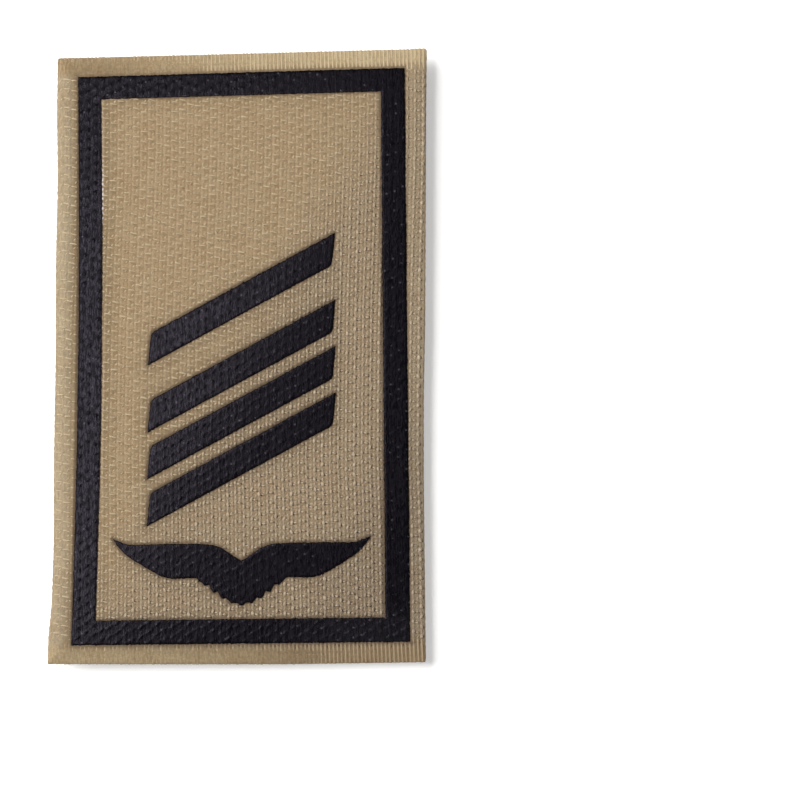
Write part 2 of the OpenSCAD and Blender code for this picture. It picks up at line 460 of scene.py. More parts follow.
def cloth_level(x, y, depth, edge):
    """Height of the rib crests above the surface that the patch lies on."""
    drop = RIM_DROP * (1 - np.clip(edge / RIM_W, 0, 1)) ** RIM_ROUND
    drop = drop * (1 - RIGHT_KEPT * ease(cut_right(y) - x, *RIGHT_KEPT_AT))
    pressed = PRESS_DEPTH * ease(depth, -PRESS_REACH, 0.0)
    return FACE_Z - drop - pressed + fold_height(x, y)


print("pressed", PRESS_DEPTH, "mm down under the print, and", RIM_DROP, "mm at the cut")

# %% [markdown]
# The press has also ironed the knit on the rims. It left the left rim and the two end rims almost
# plain, and the right one only half. These masks run from 0 on the face to 1 on a rim, by the
# distance from the cut in millimetres.

# %% How flat the rims are
LEFT_RIM, RIGHT_RIM, END_RIM = (1.5, 3.0), (1.8, 3.2), (1.3, 2.8)
RIGHT_SHARE = 0.5
IRONED_AWAY = 0.7
TOP_PALE_LEFT, TOP_PALE_MORE, TOP_PALE_FROM = 0.08, 0.62, (-24, 14)
BOTTOM_PALE, BOTTOM_PALE_FROM = 0.4, (-24, 20)


def left_rim(x, y):
    return 1 - ease(x - cut_left(y), *LEFT_RIM)


def side_rims(x, y):
    """The left rim, and half as much the right one, where the press was weaker."""
    right = RIGHT_SHARE - RIGHT_SHARE * ease(cut_right(y) - x, *RIGHT_RIM)
    return np.maximum(left_rim(x, y), right)


def ironed(x, y):
    """How flat the press left the knit, over all four rims."""
    return np.maximum(side_rims(x, y), 1 - ease(from_end(x, y), *END_RIM))


def rim_softness(x, y):
    """How much of the knit's relief is left."""
    return 1 - IRONED_AWAY * ironed(x, y)


def end_pale(x, y):
    """How pale the end rims are: the top one more to the right, the bottom one less."""
    top = TOP_PALE_LEFT + TOP_PALE_MORE * ease(x, *TOP_PALE_FROM)
    return np.where(y > 0, top, BOTTOM_PALE - BOTTOM_PALE * ease(x, *BOTTOM_PALE_FROM))


print("the left rim keeps", round(float(rim_softness(-HALF_W, 0.0)), 2), "of the knit's relief")

# %% [markdown]
# ## The relief of the knit
# On top of that level lies the relief of the knit. Each rib is a crest, the middle of a window a
# lower one, and between them run the grooves. Where the knit opens, every window has two small
# holes and the low head of a loop. Sculpting could press them in one by one, but tables of four
# rows and sizes repeat over the whole cloth, and the material can read the same tables.

# %% The ribs, the grooves and the holes
WINDOW_EASED, WINDOW_OPEN = 0.030, 0.100
CREST_HALF, MIDDLE_HALF, MIDDLE_SHARE = 0.17, 0.15, 0.78
HOLE_DEPTH, HOLE_HALVES = 0.18, (0.14, 0.15)
HOLE_A, HOLE_B = 0.265, -0.07
FAR_HOLE_A, FAR_HOLE_B = 0.80, -0.16
HOLES = np.array([0.45, 1.0, 0.5, 0.95])
FAR_HOLES = np.array([0.8, 0.25, 0.7, 0.3])
HEAD_PLACE, HEAD_RISE, HEAD_HALVES = 0.45, 0.055, (0.14, 0.14)
HEAD_ROWS = np.array([0.04, 0.50, 0.0, 0.84])
HEADS = np.array([0.8, 0.9, 0.0, 0.5])


def between(eased, open_value, opened):
    """A value on the way from the eased knit to the open knit."""
    return eased + (open_value - eased) * opened


def hump(off_a, off_b, halves):
    """A round hump, 1 at its middle, by the offsets from it and its half widths."""
    return np.exp(-(off_a / halves[0]) ** 2 - (off_b / halves[1]) ** 2)


def window_spots(a, b, rows, sizes, at_a, at_b, halves):
    """A round spot in every window, in the row and of the size that the tables give its rib."""
    rib = np.floor(a / RIB).astype(int)
    rows_down = -(b - at_b) / REPEAT - rows[rib % 4]
    off_b = (rows_down - np.round(rows_down)) * REPEAT
    return sizes[rib % 4] * hump(a - rib * RIB - at_a, off_b, halves)


def rib_relief(a, b, opened):
    """Zero on a crest, negative in the grooves and the holes, and a little up on a loop head."""
    off = np.abs(a / RIB - np.round(a / RIB)) * RIB
    crest = np.exp(-(off / CREST_HALF) ** 2)
    middle = MIDDLE_SHARE * np.exp(-((off - RIB / 2) / MIDDLE_HALF) ** 2)
    grooves = between(WINDOW_EASED, WINDOW_OPEN, opened) * (crest + middle - 1)
    holes = window_spots(a, b, FLOAT_ROWS, HOLES, HOLE_A, HOLE_B, HOLE_HALVES)
    holes += window_spots(a, b, FLOAT_ROWS, FAR_HOLES, FAR_HOLE_A, FAR_HOLE_B, HOLE_HALVES)
    heads = window_spots(a, b, HEAD_ROWS, HEADS, HEAD_PLACE * RIB, 0.0, HEAD_HALVES)
    return grooves + opened * (HEAD_RISE * heads - HOLE_DEPTH * holes)


print("the grooves are", WINDOW_EASED, "to", WINDOW_OPEN, "mm deep, the holes", HOLE_DEPTH, "mm")

# %% [markdown]
# ## Making a mesh from arrays
# Thousands of stitches as separate objects would choke any scene. Instead the points of all the
# stitches of one kind are worked out at once as arrays and become one mesh. The helpers below turn
# arrays into a mesh object, and sweep rings of points into closed tubes.

# %% Mesh helpers
def mesh_object(name, points, faces):
    """A mesh object from points in millimetres and faces as lists of point numbers."""
    mesh = bpy.data.meshes.new(name)
    mesh.from_pydata((np.asarray(points) * MM).tolist(), [], faces)
    mesh.update()
    mesh.polygons.foreach_set("use_smooth", [True] * len(mesh.polygons))
    piece = bpy.data.objects.new(name, mesh)
    bpy.context.scene.collection.objects.link(piece)
    return piece


def triangles_in(piece):
    return sum(len(p.vertices) - 2 for p in piece.data.polygons)


def store(piece, name, values):
    """Keeps a number or a triple at every point of a mesh, for its material to read."""
    values = np.asarray(values, np.float32)
    kind, key = ("FLOAT_VECTOR", "vector") if values.ndim == 2 else ("FLOAT", "value")
    layer = piece.data.attributes.new(name, kind, "POINT")
    layer.data.foreach_set(key, values.ravel())


def closed_tubes(rings):
    """Points and faces of many closed tubes. rings is (tubes, rings, sides, 3)."""
    tubes, length, sides, _ = rings.shape
    k, r, s = np.meshgrid(np.arange(tubes), np.arange(length - 1), np.arange(sides), indexing="ij")
    start = (k * length + r) * sides
    turn = (s + 1) % sides
    quads = np.stack([start + s, start + turn, start + sides + turn, start + sides + s], -1)
    first = (np.arange(tubes) * length * sides)[:, None]
    low_caps = first + np.arange(sides)[::-1]
    high_caps = first + (length - 1) * sides + np.arange(sides)
    faces = quads.reshape(-1, 4).tolist() + low_caps.tolist() + high_caps.tolist()
    return rings.reshape(-1, 3), faces


def join_rings(centres, radii, across, flat, sides=6):
    """Upright rings round many centre lines, each ring as high as flat times its width."""
    turn = 2 * np.pi * np.arange(sides) / sides
    side = np.array(across, float) * np.cos(turn)[:, None]
    rise = np.array([0, 0, 1]) * np.sin(turn)[:, None]
    flat = np.broadcast_to(flat, radii.shape)[:, :, None, None]
    return centres[:, :, None, :] + radii[:, :, None, None] * (side + flat * rise)


# %% [markdown]
# ## The ground of the cloth
# The ground is the sheet of knit itself. It could be a flat box with a bumpy material, but then
# its outline would be dead straight under a raking light. So it is one closed mesh: a fine grid
# whose columns follow the ribs, with five points across each rib, side walls along the cut, and a
# plain underside. Close to the cut the grid is squeezed so that its last row lies on the line.
# Under the film the press has flattened more than half of the knit's relief.

# %% The grid of the ground
RIB_STATIONS = np.array([0, 0.14, 0.27, 0.50, 0.76])
ROWS = 382
SQUEEZE = 2.4
FLAT_UNDER_FILM = 0.6


def squeeze(value, nominal, wanted, inward):
    """Moves points near an edge so that the nominal edge lands on the wanted line."""
    reach = inward * (value - nominal)
    share = np.clip(1 - reach / SQUEEZE, 0, 1)
    return value + share * (wanted - nominal)


a_line = np.append(((np.arange(RIBS)[:, None] + RIB_STATIONS) * RIB - GRID_A).ravel(), GRID_A)
b_line = np.linspace(-GRID_B, GRID_B, ROWS)
a_grid, b_grid = np.meshgrid(a_line, b_line)
x, y = grid_to_patch(a_grid, b_grid)
left_edge, right_edge = x[:, :1], x[:, -1:]
x = squeeze(x, left_edge, cut_left(b_grid), 1)
x = squeeze(x, right_edge, cut_right(b_grid), -1)
low_edge, high_edge = y[:1], y[-1:]
y = squeeze(y, low_edge, cut_bottom(x), 1)
y = squeeze(y, high_edge, cut_top(x), -1)


def round_corners(x, y):
    """Bends the square corners of the grid into small arcs, as the scissors left them."""
    x, y = x.copy(), y.copy()
    to_side, to_end = from_side(x, y), from_end(x, y)
    near = (to_side < CORNER_R) & (to_end < CORNER_R)
    u, v = CORNER_R - to_side[near], CORNER_R - to_end[near]
    longest, length = np.maximum(u, v), np.maximum(np.hypot(u, v), 1e-9)
    shrink = longest / length
    x[near] += np.sign(x[near]) * u * (shrink - 1)
    y[near] += np.sign(y[near]) * v * (shrink - 1)
    return x, y


def surface_at(x, y):
    """The cloth's level, the distance from the cut and the depth in the print at given points."""
    edge, depth = from_cut(x, y), print_depth(x, y)
    return cloth_level(x, y, depth, np.maximum(edge, 0)), edge, depth


x, y = round_corners(x, y)
level, _, depth = surface_at(x, y)
opened = openness(x, y)
relief = rib_relief(*patch_to_grid(x, y), opened) * rim_softness(x, y)
relief *= 1 - FLAT_UNDER_FILM * ease(depth, -0.1, 0.1)
z = level + relief
print("ground grid", x.shape, "relief", round(float(-relief.min()), 3), "mm deep")

# %% [markdown]
# The grid becomes the top of a closed sheet. Its edge points are repeated twice on the way down,
# once for a slightly bulging middle, and the underside is triangulated with a loose net of inner
# points, because the tape hides it.

# %% Close the ground into one sheet
NET, NET_GAP = 1.5, 0.8
WALL_MIDDLE, WALL_BULGE = 0.45, 0.03
rows, cols = x.shape
number = np.arange(rows * cols).reshape(rows, cols)
top_quads = np.stack([number[:-1, :-1], number[:-1, 1:], number[1:, 1:], number[1:, :-1]], -1)
loop = np.concatenate([number[0, :], number[1:, -1], number[-1, -2::-1], number[-2:0:-1, 0]])


def fill_lines(lines, inner):
    """Triangles between closed lines, through inner points: points, triangles and line edges."""
    ring, start = [], 0
    for line in lines:
        ring += [(start + i, start + (i + 1) % len(line)) for i in range(len(line))]
        start += len(line)
    flat = np.concatenate([*lines, inner])
    result = delaunay_2d_cdt([Vector(p) for p in flat], ring, [], 1, 1e-7, False)
    flat, tris = np.array([v[:] for v in result[0]]), np.array(result[2])
    doubtful = np.flatnonzero((tris < start).all(1))
    outside = depth_of_print(flat[tris[doubtful]].mean(1), lines) <= 0
    tris = np.delete(tris, doubtful[outside], axis=0)
    (ax, ay), (bx, by), (cx, cy) = flat[tris[0]]
    if (bx - ax) * (cy - ay) < (by - ay) * (cx - ax):
        tris = tris[:, ::-1]
    return flat, tris, ring


def even_net(low, high, spacing):
    """The points of an even net over a box."""
    columns, rows = [np.arange(low[k], high[k], spacing) for k in (0, 1)]
    return np.stack(np.meshgrid(columns, rows), -1).reshape(-1, 2)


def underside_net(loop_xy, spacing, clearance):
    """Triangles inside a closed line, with a net of inner points at the given spacing."""
    half = np.abs(loop_xy).max(0)
    net = even_net(-half, half, spacing)
    net = net[depth_inside(net, loop_xy) > clearance]
    flat, tris, _ = fill_lines([loop_xy], net)
    return flat, tris.tolist()


def outward_of(loop):
    """Unit directions out of a closed line at each of its points."""
    along = np.roll(loop, -1, 0) - np.roll(loop, 1, 0)
    normal = np.stack([along[:, 1], -along[:, 0]], 1)
    normal /= np.linalg.norm(normal, axis=1)[:, None]
    area = np.sum(loop[:, 0] * np.roll(loop[:, 1], -1) - np.roll(loop[:, 0], -1) * loop[:, 1])
    return normal * np.sign(area)


def close_sheet(top_points, top_faces, loop_numbers, bottom_z, bulge):
    """Adds side walls and an underside to a sheet whose edge is the given loop."""
    count, total = len(loop_numbers), len(top_points)
    rim = top_points[loop_numbers]
    low, middle = rim.copy(), rim.copy()
    low[:, 2] = bottom_z(rim[:, 0], rim[:, 1])
    middle[:, :2] += outward_of(rim[:, :2]) * bulge
    middle[:, 2] = rim[:, 2] * WALL_MIDDLE + low[:, 2] * (1 - WALL_MIDDLE)
    net_points, net_faces = underside_net(low[:, :2], NET, NET_GAP)
    inner = net_points[count:]
    inner = np.column_stack([inner, bottom_z(inner[:, 0], inner[:, 1])])
    points = np.concatenate([top_points, middle, low, inner])
    step = np.arange(count)
    after = (step + 1) % count
    upper, lower = total + step, total + count + step
    walls = np.concatenate([
        np.stack([loop_numbers, upper, total + after, loop_numbers[after]], 1),
        np.stack([upper, lower, total + count + after, total + after], 1)])
    under = [[total + count + i for i in face][::-1] for face in net_faces]
    return points, top_faces + walls.tolist() + under


def cloth_underside(x, y):
    return CLOTH_Z + fold_height(x, y)


top_points = np.stack([x.ravel(), y.ravel(), z.ravel()], 1)
points, faces = close_sheet(top_points, top_quads.reshape(-1, 4).tolist(), loop,
                            cloth_underside, WALL_BULGE)
ground = mesh_object("knit_ground", points, faces)
print("knit_ground has", triangles_in(ground), "triangles")

# %% [markdown]
# A material knows nothing of ribs and prints, so every point of the ground keeps what its finish
# will ask for: its place on the knit's grid, how open the knit is there, how much painted shade and
# highlight lie along the print and how much painted shade lies near it, and how far the rims are
# ironed and pale.

# %% Mark the ground for its finish
extra = len(points) - len(top_points)
ground_x, ground_y = points[:, 0], points[:, 1]
store(ground, "knit", np.stack([*patch_to_grid(ground_x, ground_y), np.zeros(len(points))], 1))
# The painted shade and highlights along the print, and the painted shade near it.
for name, values in (("open", opened.ravel()), ("trace", paint_edge_shading(x, y, depth)),
                     ("near", painted_shade_near_print(x, y, depth).ravel())):
    store(ground, name, np.append(values, np.zeros(extra)))
store(ground, "ironed", ironed(ground_x, ground_y))
corner_fade = ease(HALF_L - np.abs(ground_y), 1.0, 5.0)
store(ground, "side_rim", side_rims(ground_x, ground_y) * corner_fade)
store(ground, "end_pale", end_pale(ground_x, ground_y))
print("each of the ground's", len(points), "points keeps its values")

# %% [markdown]
# ## Yarn on the ground
# The yarn pieces are all made the same way. Centre lines are laid out on the knit's grid, lifted
# onto the cloth, and swept into closed six-sided tubes that join into one mesh. Every tube keeps
# a random tone, and every point keeps its place, so that the material can tell yarns apart.

# %% Lay yarn on the cloth
COVERED_SINK, COVERED_REACH = 0.22, (-0.14, 0.03)


def covered_sink(depth):
    """How far yarn sinks where the print covers it."""
    return COVERED_SINK * ease(depth, *COVERED_REACH)


def yarn_lines(a, b, heights):
    """Centre lines at heights over the cloth's crests, and where they are on it."""
    x, y = grid_to_patch(a, b)
    level, edge, depth = surface_at(x, y)
    lift = heights * rim_softness(x, y) - covered_sink(depth)
    return np.stack([x, y, level + lift], -1), edge, depth, from_end(x, y)


def yarn_piece(name, centres, radii, across, flat, tone, open_share=1.0):
    """One mesh of many closed yarns, with the values that its material reads."""
    points, faces = closed_tubes(join_rings(centres, radii, across, flat))
    piece = mesh_object(name, points, faces)
    x, y = points[:, 0], points[:, 1]
    store(piece, "tone", np.repeat(tone, len(points) // len(centres)))
    store(piece, "knit", np.stack([*patch_to_grid(x, y), points[:, 2]], 1))
    store(piece, "open", open_share * openness(x, y))
    line_x, line_y = centres[..., 0], centres[..., 1]
    # The same painted shade and highlights along the print, for the yarn.
    trace = paint_edge_shading(line_x, line_y, print_depth(line_x, line_y))
    store(piece, "trace", np.repeat(trace, len(points) // line_x.size))
    print(name, "has", len(centres), "yarns and", triangles_in(piece), "triangles")
    return piece


# %% [markdown]
# ## The ribs' chain stitches
# Each rib is a chain: a stitch is a drop of yarn drawn through the one before it, two to a repeat.
# The one from which the float springs is the bigger. Where the knit is eased they lie broad and
# flat, and where it opens they stand up. One drop could be copied to every place by an instance,
# but then all would be alike, so each gets its own size and lean from a seeded random draw. Under
# the print, on the left rim and on the end rims they don't show, and there none are made.

# %% The chain stitches
STITCH_PLACES = np.array([-0.34, -0.21, 0.00, 0.21, 0.34])
STITCH_SHAPE = np.array([0.15, 0.80, 1.00, 0.74, 0.15])
STITCH_SINK = np.array([-0.050, -0.012, 0.0, -0.012, -0.050])
EASED_WIDTH, OPEN_WIDTH = 0.165, 0.172
EASED_FLAT, OPEN_FLAT = 0.26, 0.62
EASED_LIFT, OPEN_LIFT = -0.034, -0.050
STITCH_SWELL = np.array([0.85, 0.90, 1.12, 1.25])
BIG_STITCH, SMALL_LESS, BIG_LIFT = 1.16, 0.20, 0.045
STITCH_STRAYS = 0.020, 0.030
STITCH_LEAN, LIFT_STRAY = 0.045 / 0.3, 0.007
YARN_SIZES = 0.84, 1.12
REPEATS_UP = 33
PLAIN_RIM, PLAIN_LEFT_RIM = 2.9, 3.1
STITCH_GAP, PRINT_GAP = 0.16, 0.02
SMALL_TONE, BIG_TONE = 0.35, 0.50

rng = np.random.default_rng(7)
rib, half_row = np.meshgrid(np.arange(-RIBS // 2 - 1, RIBS // 2 + 2),
                            np.arange(-2 * REPEATS_UP, 2 * REPEATS_UP))
rib, half_row = rib.ravel(), half_row.ravel()
big = half_row % 2 == 0
stitch_a = rib * RIB + rng.normal(0, STITCH_STRAYS[0], rib.size)
stitch_b = -(half_row / 2 + FLOAT_ROWS[rib % 4]) * REPEAT + rng.normal(0, STITCH_STRAYS[1], rib.size)
stitch_x, stitch_y = grid_to_patch(stitch_a, stitch_b)
keep = (from_cut(stitch_x, stitch_y) > STITCH_GAP) & (from_end(stitch_x, stitch_y) > PLAIN_RIM)
keep &= stitch_x - cut_left(stitch_y) > PLAIN_LEFT_RIM
keep &= print_depth(stitch_x, stitch_y) < -PRINT_GAP
stitch_a, stitch_b, big, rib = stitch_a[keep], stitch_b[keep], big[keep], rib[keep]
opened = openness(*grid_to_patch(stitch_a, stitch_b))
big_size = between(1, BIG_STITCH * STITCH_SWELL[rib % 4], opened)
size = rng.uniform(*YARN_SIZES, rib.size) * np.where(big, big_size, 1 - SMALL_LESS * opened)
lean = rng.normal(0, STITCH_LEAN, rib.size)[:, None]
a, b = stitch_a[:, None] + lean * STITCH_PLACES, stitch_b[:, None] + STITCH_PLACES
lift = STITCH_SINK + between(EASED_LIFT, OPEN_LIFT, opened)[:, None]
lift = lift + rng.normal(0, LIFT_STRAY, rib.size)[:, None] + BIG_LIFT * (big * opened)[:, None]
centres, _, _, _ = yarn_lines(a, b, lift)
width = STITCH_SHAPE * (between(EASED_WIDTH, OPEN_WIDTH, opened) * size)[:, None]
flat = between(EASED_FLAT, OPEN_FLAT, opened)[:, None]
# The big stitches of the open knit are paler: partly their own tone, partly painted highlight.
big_tone = np.where(big, BIG_TONE * STITCH_SWELL[rib % 4], 0.0) * opened
stitches = yarn_piece("rib_stitches", centres, width, (1, 0, 0), flat,
                      rng.random(rib.size) * SMALL_TONE + big_tone)

# %% [markdown]
# ## The floats and the loop heads
# Between the ribs the second yarn shows. In every window one float starts as a bead on the left
# rib, runs across and dives under the next rib, a little lower than it began. Where the knit opens
# it dips between the rib and the middle of the window. Beside it the head of a loop shows as a
# dot. Both could be curves with a round profile, but thousands of those are slow to turn into
# meshes. So a float is six rings of points and a loop head five, and tables give the row and the
# size of each in the four windows that make one repeat.

# %% The floats
PLACES_EASED = np.array([-0.15, -0.02, 0.17, 0.40, 0.64, 0.92])
PLACES_OPEN = np.array([-0.15, -0.02, 0.14, 0.44, 0.60, 0.78])
FLOAT_EASED = np.array([0.060, 0.112, 0.112, 0.106, 0.095, 0.050])
FLOAT_OPEN = np.array([0.050, 0.090, 0.050, 0.120, 0.140, 0.050])
HEIGHT_EASED = np.array([-0.060, 0.006, 0.010, 0.004, -0.012, -0.070])
HEIGHT_OPEN = np.array([-0.060, 0.005, -0.240, -0.025, 0.010, -0.220])
FLOAT_SPAN, FLOAT_SLOPE, FLOAT_SLOPES = 0.9, 0.16, (0.4, 1.6)
FLOAT_SWELL = np.array([1.22, 0.92, 1.02, 1.0])
FLOAT_STRAY, FLOAT_LENGTHS, FLOAT_LIFT_STRAY = 0.035, (0.88, 1.05), 0.015
FLOAT_GAP, FLOAT_PAST_RIM, FLOAT_FLAT = 0.06, 0.2, 0.62
# Floats are paler than stitches, more so on the left rim: partly their own tone, partly painted
# highlight.
FLOAT_TONE, FLOAT_TONE_STRAY, RIM_TONE = 0.32, 0.53, 0.45

rib, row = np.meshgrid(np.arange(-RIBS // 2 - 1, RIBS // 2 + 1),
                       np.arange(-REPEATS_UP, REPEATS_UP + 1))
rib, row = rib.ravel(), row.ravel()
float_a = rib * RIB + rng.normal(0, FLOAT_STRAY, rib.size)
float_b = -(row + FLOAT_ROWS[rib % 4]) * REPEAT + rng.normal(0, FLOAT_STRAY, rib.size)
drop = FLOAT_SLOPE * rng.uniform(*FLOAT_SLOPES, rib.size)
opened = openness(*grid_to_patch(float_a, float_b))[:, None]
places = between(PLACES_EASED, PLACES_OPEN, opened)
a = float_a[:, None] + places * rng.uniform(*FLOAT_LENGTHS, rib.size)[:, None]
b = float_b[:, None] - drop[:, None] * places / FLOAT_SPAN
lift_stray = rng.normal(0, FLOAT_LIFT_STRAY, rib.size)[:, None]
lift = between(HEIGHT_EASED, HEIGHT_OPEN, opened) + lift_stray
centres, edge, depth, end_gap = yarn_lines(a, b, lift)
keep = (edge.min(1) > FLOAT_GAP) & (depth.min(1) < 0) & (end_gap.min(1) > PLAIN_RIM - FLOAT_PAST_RIM)
radii = between(FLOAT_EASED, FLOAT_OPEN, opened) * rng.uniform(*YARN_SIZES, rib.size)[:, None]
radii *= FLOAT_SWELL[rib % 4][:, None]
tone = FLOAT_TONE + FLOAT_TONE_STRAY * rng.random(rib.size)
tone += RIM_TONE * left_rim(centres[:, 1, 0], centres[:, 1, 1])
floats = yarn_piece("float_yarns", centres[keep], radii[keep], (0, 1, 0), FLOAT_FLAT, tone[keep])

# %% The loop heads
DOT_PLACES = np.array([-0.15, -0.09, 0.02, 0.12, 0.17])
DOT_RADIUS = np.array([0.02, 0.105, 0.135, 0.095, 0.02])
DOT_SIZES = np.array([0.90, 0.84, 1.12, 1.0])
DOT_EASED, DOT_OPEN = -0.008, -0.060
DOT_FLAT_EASED, DOT_FLAT_OPEN = 0.45, 0.70
DOT_PLACE, DOT_SLANT, DOT_STRAYS = 0.53, 0.6, (0.030, 0.040, 0.012)
DOT_SPREAD, DOT_GAP = (0.75, 1.15), 0.1
# Loop heads are pale, most of all in the eased knit: partly their own tone, partly painted highlight.
DOT_TONE_EASED, DOT_TONE_OPEN, DOT_TONE_STRAY = 0.75, 0.35, 0.4

dot_a = (rib + DOT_PLACE) * RIB + rng.normal(0, DOT_STRAYS[0], rib.size)
dot_b = -(row + DOT_ROWS[rib % 4]) * REPEAT + rng.normal(0, DOT_STRAYS[1], rib.size)
a, b = dot_a[:, None] + DOT_PLACES, dot_b[:, None] + DOT_PLACES * DOT_SLANT
lift = between(DOT_EASED, DOT_OPEN, opened) + rng.normal(0, DOT_STRAYS[2], rib.size)[:, None]
centres, edge, depth, end_gap = yarn_lines(a, b, np.broadcast_to(lift, a.shape))
keep = (edge.min(1) > DOT_GAP) & (depth.max(1) < -PRINT_GAP) & (end_gap.min(1) > PLAIN_RIM)
radii = DOT_RADIUS * (DOT_SIZES[rib % 4] * rng.uniform(*DOT_SPREAD, rib.size))[:, None]
flat = between(DOT_FLAT_EASED, DOT_FLAT_OPEN, opened)
tone = between(DOT_TONE_EASED, DOT_TONE_OPEN, opened[:, 0]) + DOT_TONE_STRAY * rng.random(rib.size)
dots = yarn_piece("loop_heads", centres[keep], radii[keep], (0, 1, 0), flat[keep], tone[keep])

# %% [markdown]
# ## The drawn-out ribs of the end rims
# Along the top and the bottom the press has ironed the windows shut, and what shows is a row of fine
# parallel cords, two for every rib, that run from under the border to the cut. A bump in the
# ground's material would give their shine, but not the cut edge, where their ends stand out as
# small teeth. So they are short tubes sunk into the ground, deeper towards the left where they are
# pressed quite flat, and at the bottom they fan out very slightly.

# %% The cords of the end rims
CORD_PITCH = RIB / 2
CORD_REACH = 3.05
CORD_TOOTH = 0.06
CORD_RADIUS, CORD_FLAT, CORD_SIZES = 0.19, 0.8, (0.96, 1.04)
CORD_SINK_LEFT, CORD_SINK_RIGHT, CORD_SINK_STRAY = 0.150, 0.117, 0.08
TOP_SINK, TOP_SLANT = -0.016, 0.040
CORD_STATIONS = np.array([0, 0.06, 0.2, 0.4, 0.6, 0.72, 0.80, 0.87, 1.0])
CORD_STRAY, CORD_LEAN, CORD_GAP, BOTTOM_FAN = 0.010, 0.012, 0.12, 0.004
TOP_TONE, BOTTOM_TONE = (0.35, 0.6), (0.3, -0.4)
CORD_TONE_FROM, CORD_TONE_STRAY = (-20, 16), 0.15
cord_numbers = np.arange(-RIBS - 1, RIBS + 2)


def rim_cords(at_top):
    """The centre lines and the radii of the cords along one end of the patch."""
    a0 = cord_numbers * CORD_PITCH + rng.normal(0, CORD_STRAY, cord_numbers.size)
    x0, _ = grid_to_patch(a0, GRID_B if at_top else -GRID_B)
    start, inward, fan = (cut_top(x0), -1, 0.0) if at_top else (cut_bottom(x0), 1, BOTTOM_FAN)
    y = start[:, None] + inward * (CORD_STATIONS * CORD_REACH - CORD_TOOTH)
    lean = rng.normal(0, CORD_LEAN, len(x0))
    x = x0[:, None] + (fan * x0 + lean)[:, None] * (1 - CORD_STATIONS)
    across = ease(x0, -22, 5) if at_top else ease(x0, 0, 20)
    across = across + rng.normal(0, CORD_SINK_STRAY, len(x0))
    sink = between(CORD_SINK_LEFT, CORD_SINK_RIGHT, across[:, None])
    sink = sink + (TOP_SLANT * CORD_STATIONS + TOP_SINK) * at_top
    level, edge, depth = surface_at(x, y)
    centres = np.stack([x, y, level - sink - covered_sink(depth)], -1)
    keep = edge[:, 2] > CORD_GAP
    radii = CORD_RADIUS * rng.uniform(*CORD_SIZES, len(x0))[:, None] * np.ones(x.shape)
    return centres[keep], radii[keep]


upper, lower = rim_cords(True), rim_cords(False)
tone = np.concatenate([left + more * ease(centres[:, 0, 0], *CORD_TONE_FROM)
                       for (centres, _), (left, more) in ((upper, TOP_TONE), (lower, BOTTOM_TONE))])
tone += rng.uniform(-CORD_TONE_STRAY, CORD_TONE_STRAY, len(tone))
cord_centres, cord_radii = [np.concatenate(pair) for pair in zip(upper, lower)]
cords = yarn_piece("rim_cords", cord_centres, cord_radii, (1, 0, 0), CORD_FLAT, tone, open_share=0.0)

# %% [markdown]
# ## The relief of the print
# The film is thinner than the yarn under it, so it shows the knit like a sheet thrown over pebbles:
# a bump over each bead, joined into slanting ridges, and soft streaks along the ribs. A simulation
# could drape it, but so thin a film takes its whole shape from what lies under it. So the bumps are
# summed from the nearest beads of the chart, each with its own size. The relief is strongest at the
# left. To the right it is calmer, except along the bottom.

# %% The film's height over the knit
FILM_RISE, FILM_SINK = -0.035, -0.20
BUMP, BUMP_HALVES = 0.017, (0.16, 0.15)
RIDGE, RIDGE_HALVES, RIDGE_ANGLE = 0.025, (0.44, 0.16), math.radians(38)
RIB_STREAK, WALE_STREAK = 0.0015, 0.0022
FINE_WAVE, SLOW_WAVE = 0.0026, 0.003
LEFT_RELIEF, LEFT_FADE, RIGHT_CALM, BOTTOM_LIVELY = 1.3, 0.3, 0.5, 0.9
BOTTOM_STRIP = (33, 37)
BEAD_RIBS, BEAD_ROWS = RIBS + 12, 90
bump_size = 0.30 + 0.95 * np.random.default_rng(31).random((BEAD_RIBS, BEAD_ROWS))


def nearest_beads(a, b):
    """For each of the nine nearest beads: the offsets to it and its own size."""
    for rib_step in (-1, 0, 1):
        rib = np.round(a / RIB).astype(int) + rib_step
        row_start = -FLOAT_ROWS[rib % 4] * REPEAT
        for row_step in (-1, 0, 1):
            row = np.round((row_start - b) / REPEAT).astype(int) + row_step
            size = bump_size[(rib + RIBS // 2 + 4) % BEAD_RIBS, (row + BEAD_ROWS // 2) % BEAD_ROWS]
            yield a - rib * RIB, b - (row_start - row * REPEAT), size


def waves(x, y, shortest, longest, count, seed):
    """Soft irregular waves over the plane, about 1 high."""
    rng = np.random.default_rng(seed)
    total = np.zeros_like(x, dtype=float)
    for length in np.geomspace(longest, shortest, count):
        turn, phase = rng.uniform(0, np.pi), rng.uniform(0, 2 * np.pi)
        total += np.sin(2 * np.pi * (x * math.cos(turn) + y * math.sin(turn)) / length + phase)
    return total / math.sqrt(count)


def film_relief(a, b):
    """How far the film stands above and below its middle height at a place of the knit."""
    wale = 2 * np.pi * a / RIB
    total = RIB_STREAK * np.cos(wale) + WALE_STREAK * np.cos(2 * wale)
    cos, sin = math.cos(RIDGE_ANGLE), math.sin(RIDGE_ANGLE)
    for da, db, size in nearest_beads(a, b):
        along, off = da * cos + db * sin, db * cos - da * sin
        total += BUMP * size * hump(da, db, BUMP_HALVES)
        total += RIDGE * (0.4 + 0.6 * size) * hump(along, off, RIDGE_HALVES)
    total += FINE_WAVE * waves(a * 2.2, b, 0.50, 1.6, 8, 42)
    total += SLOW_WAVE * waves(a, b, 1.6, 7.0, 6, 41)
    calm_right = ease(a, -6, 14) * (1 - BOTTOM_LIVELY * ease(-b, *BOTTOM_STRIP))
    return total * (LEFT_RELIEF - LEFT_FADE * ease(a, -20, -8) - RIGHT_CALM * calm_right)


sample_a, sample_b = np.meshgrid(np.linspace(-20, 20, 200), np.linspace(-38, 38, 200))
print("the film's relief is", round(float(np.ptp(film_relief(sample_a, sample_b))), 3), "mm in all")

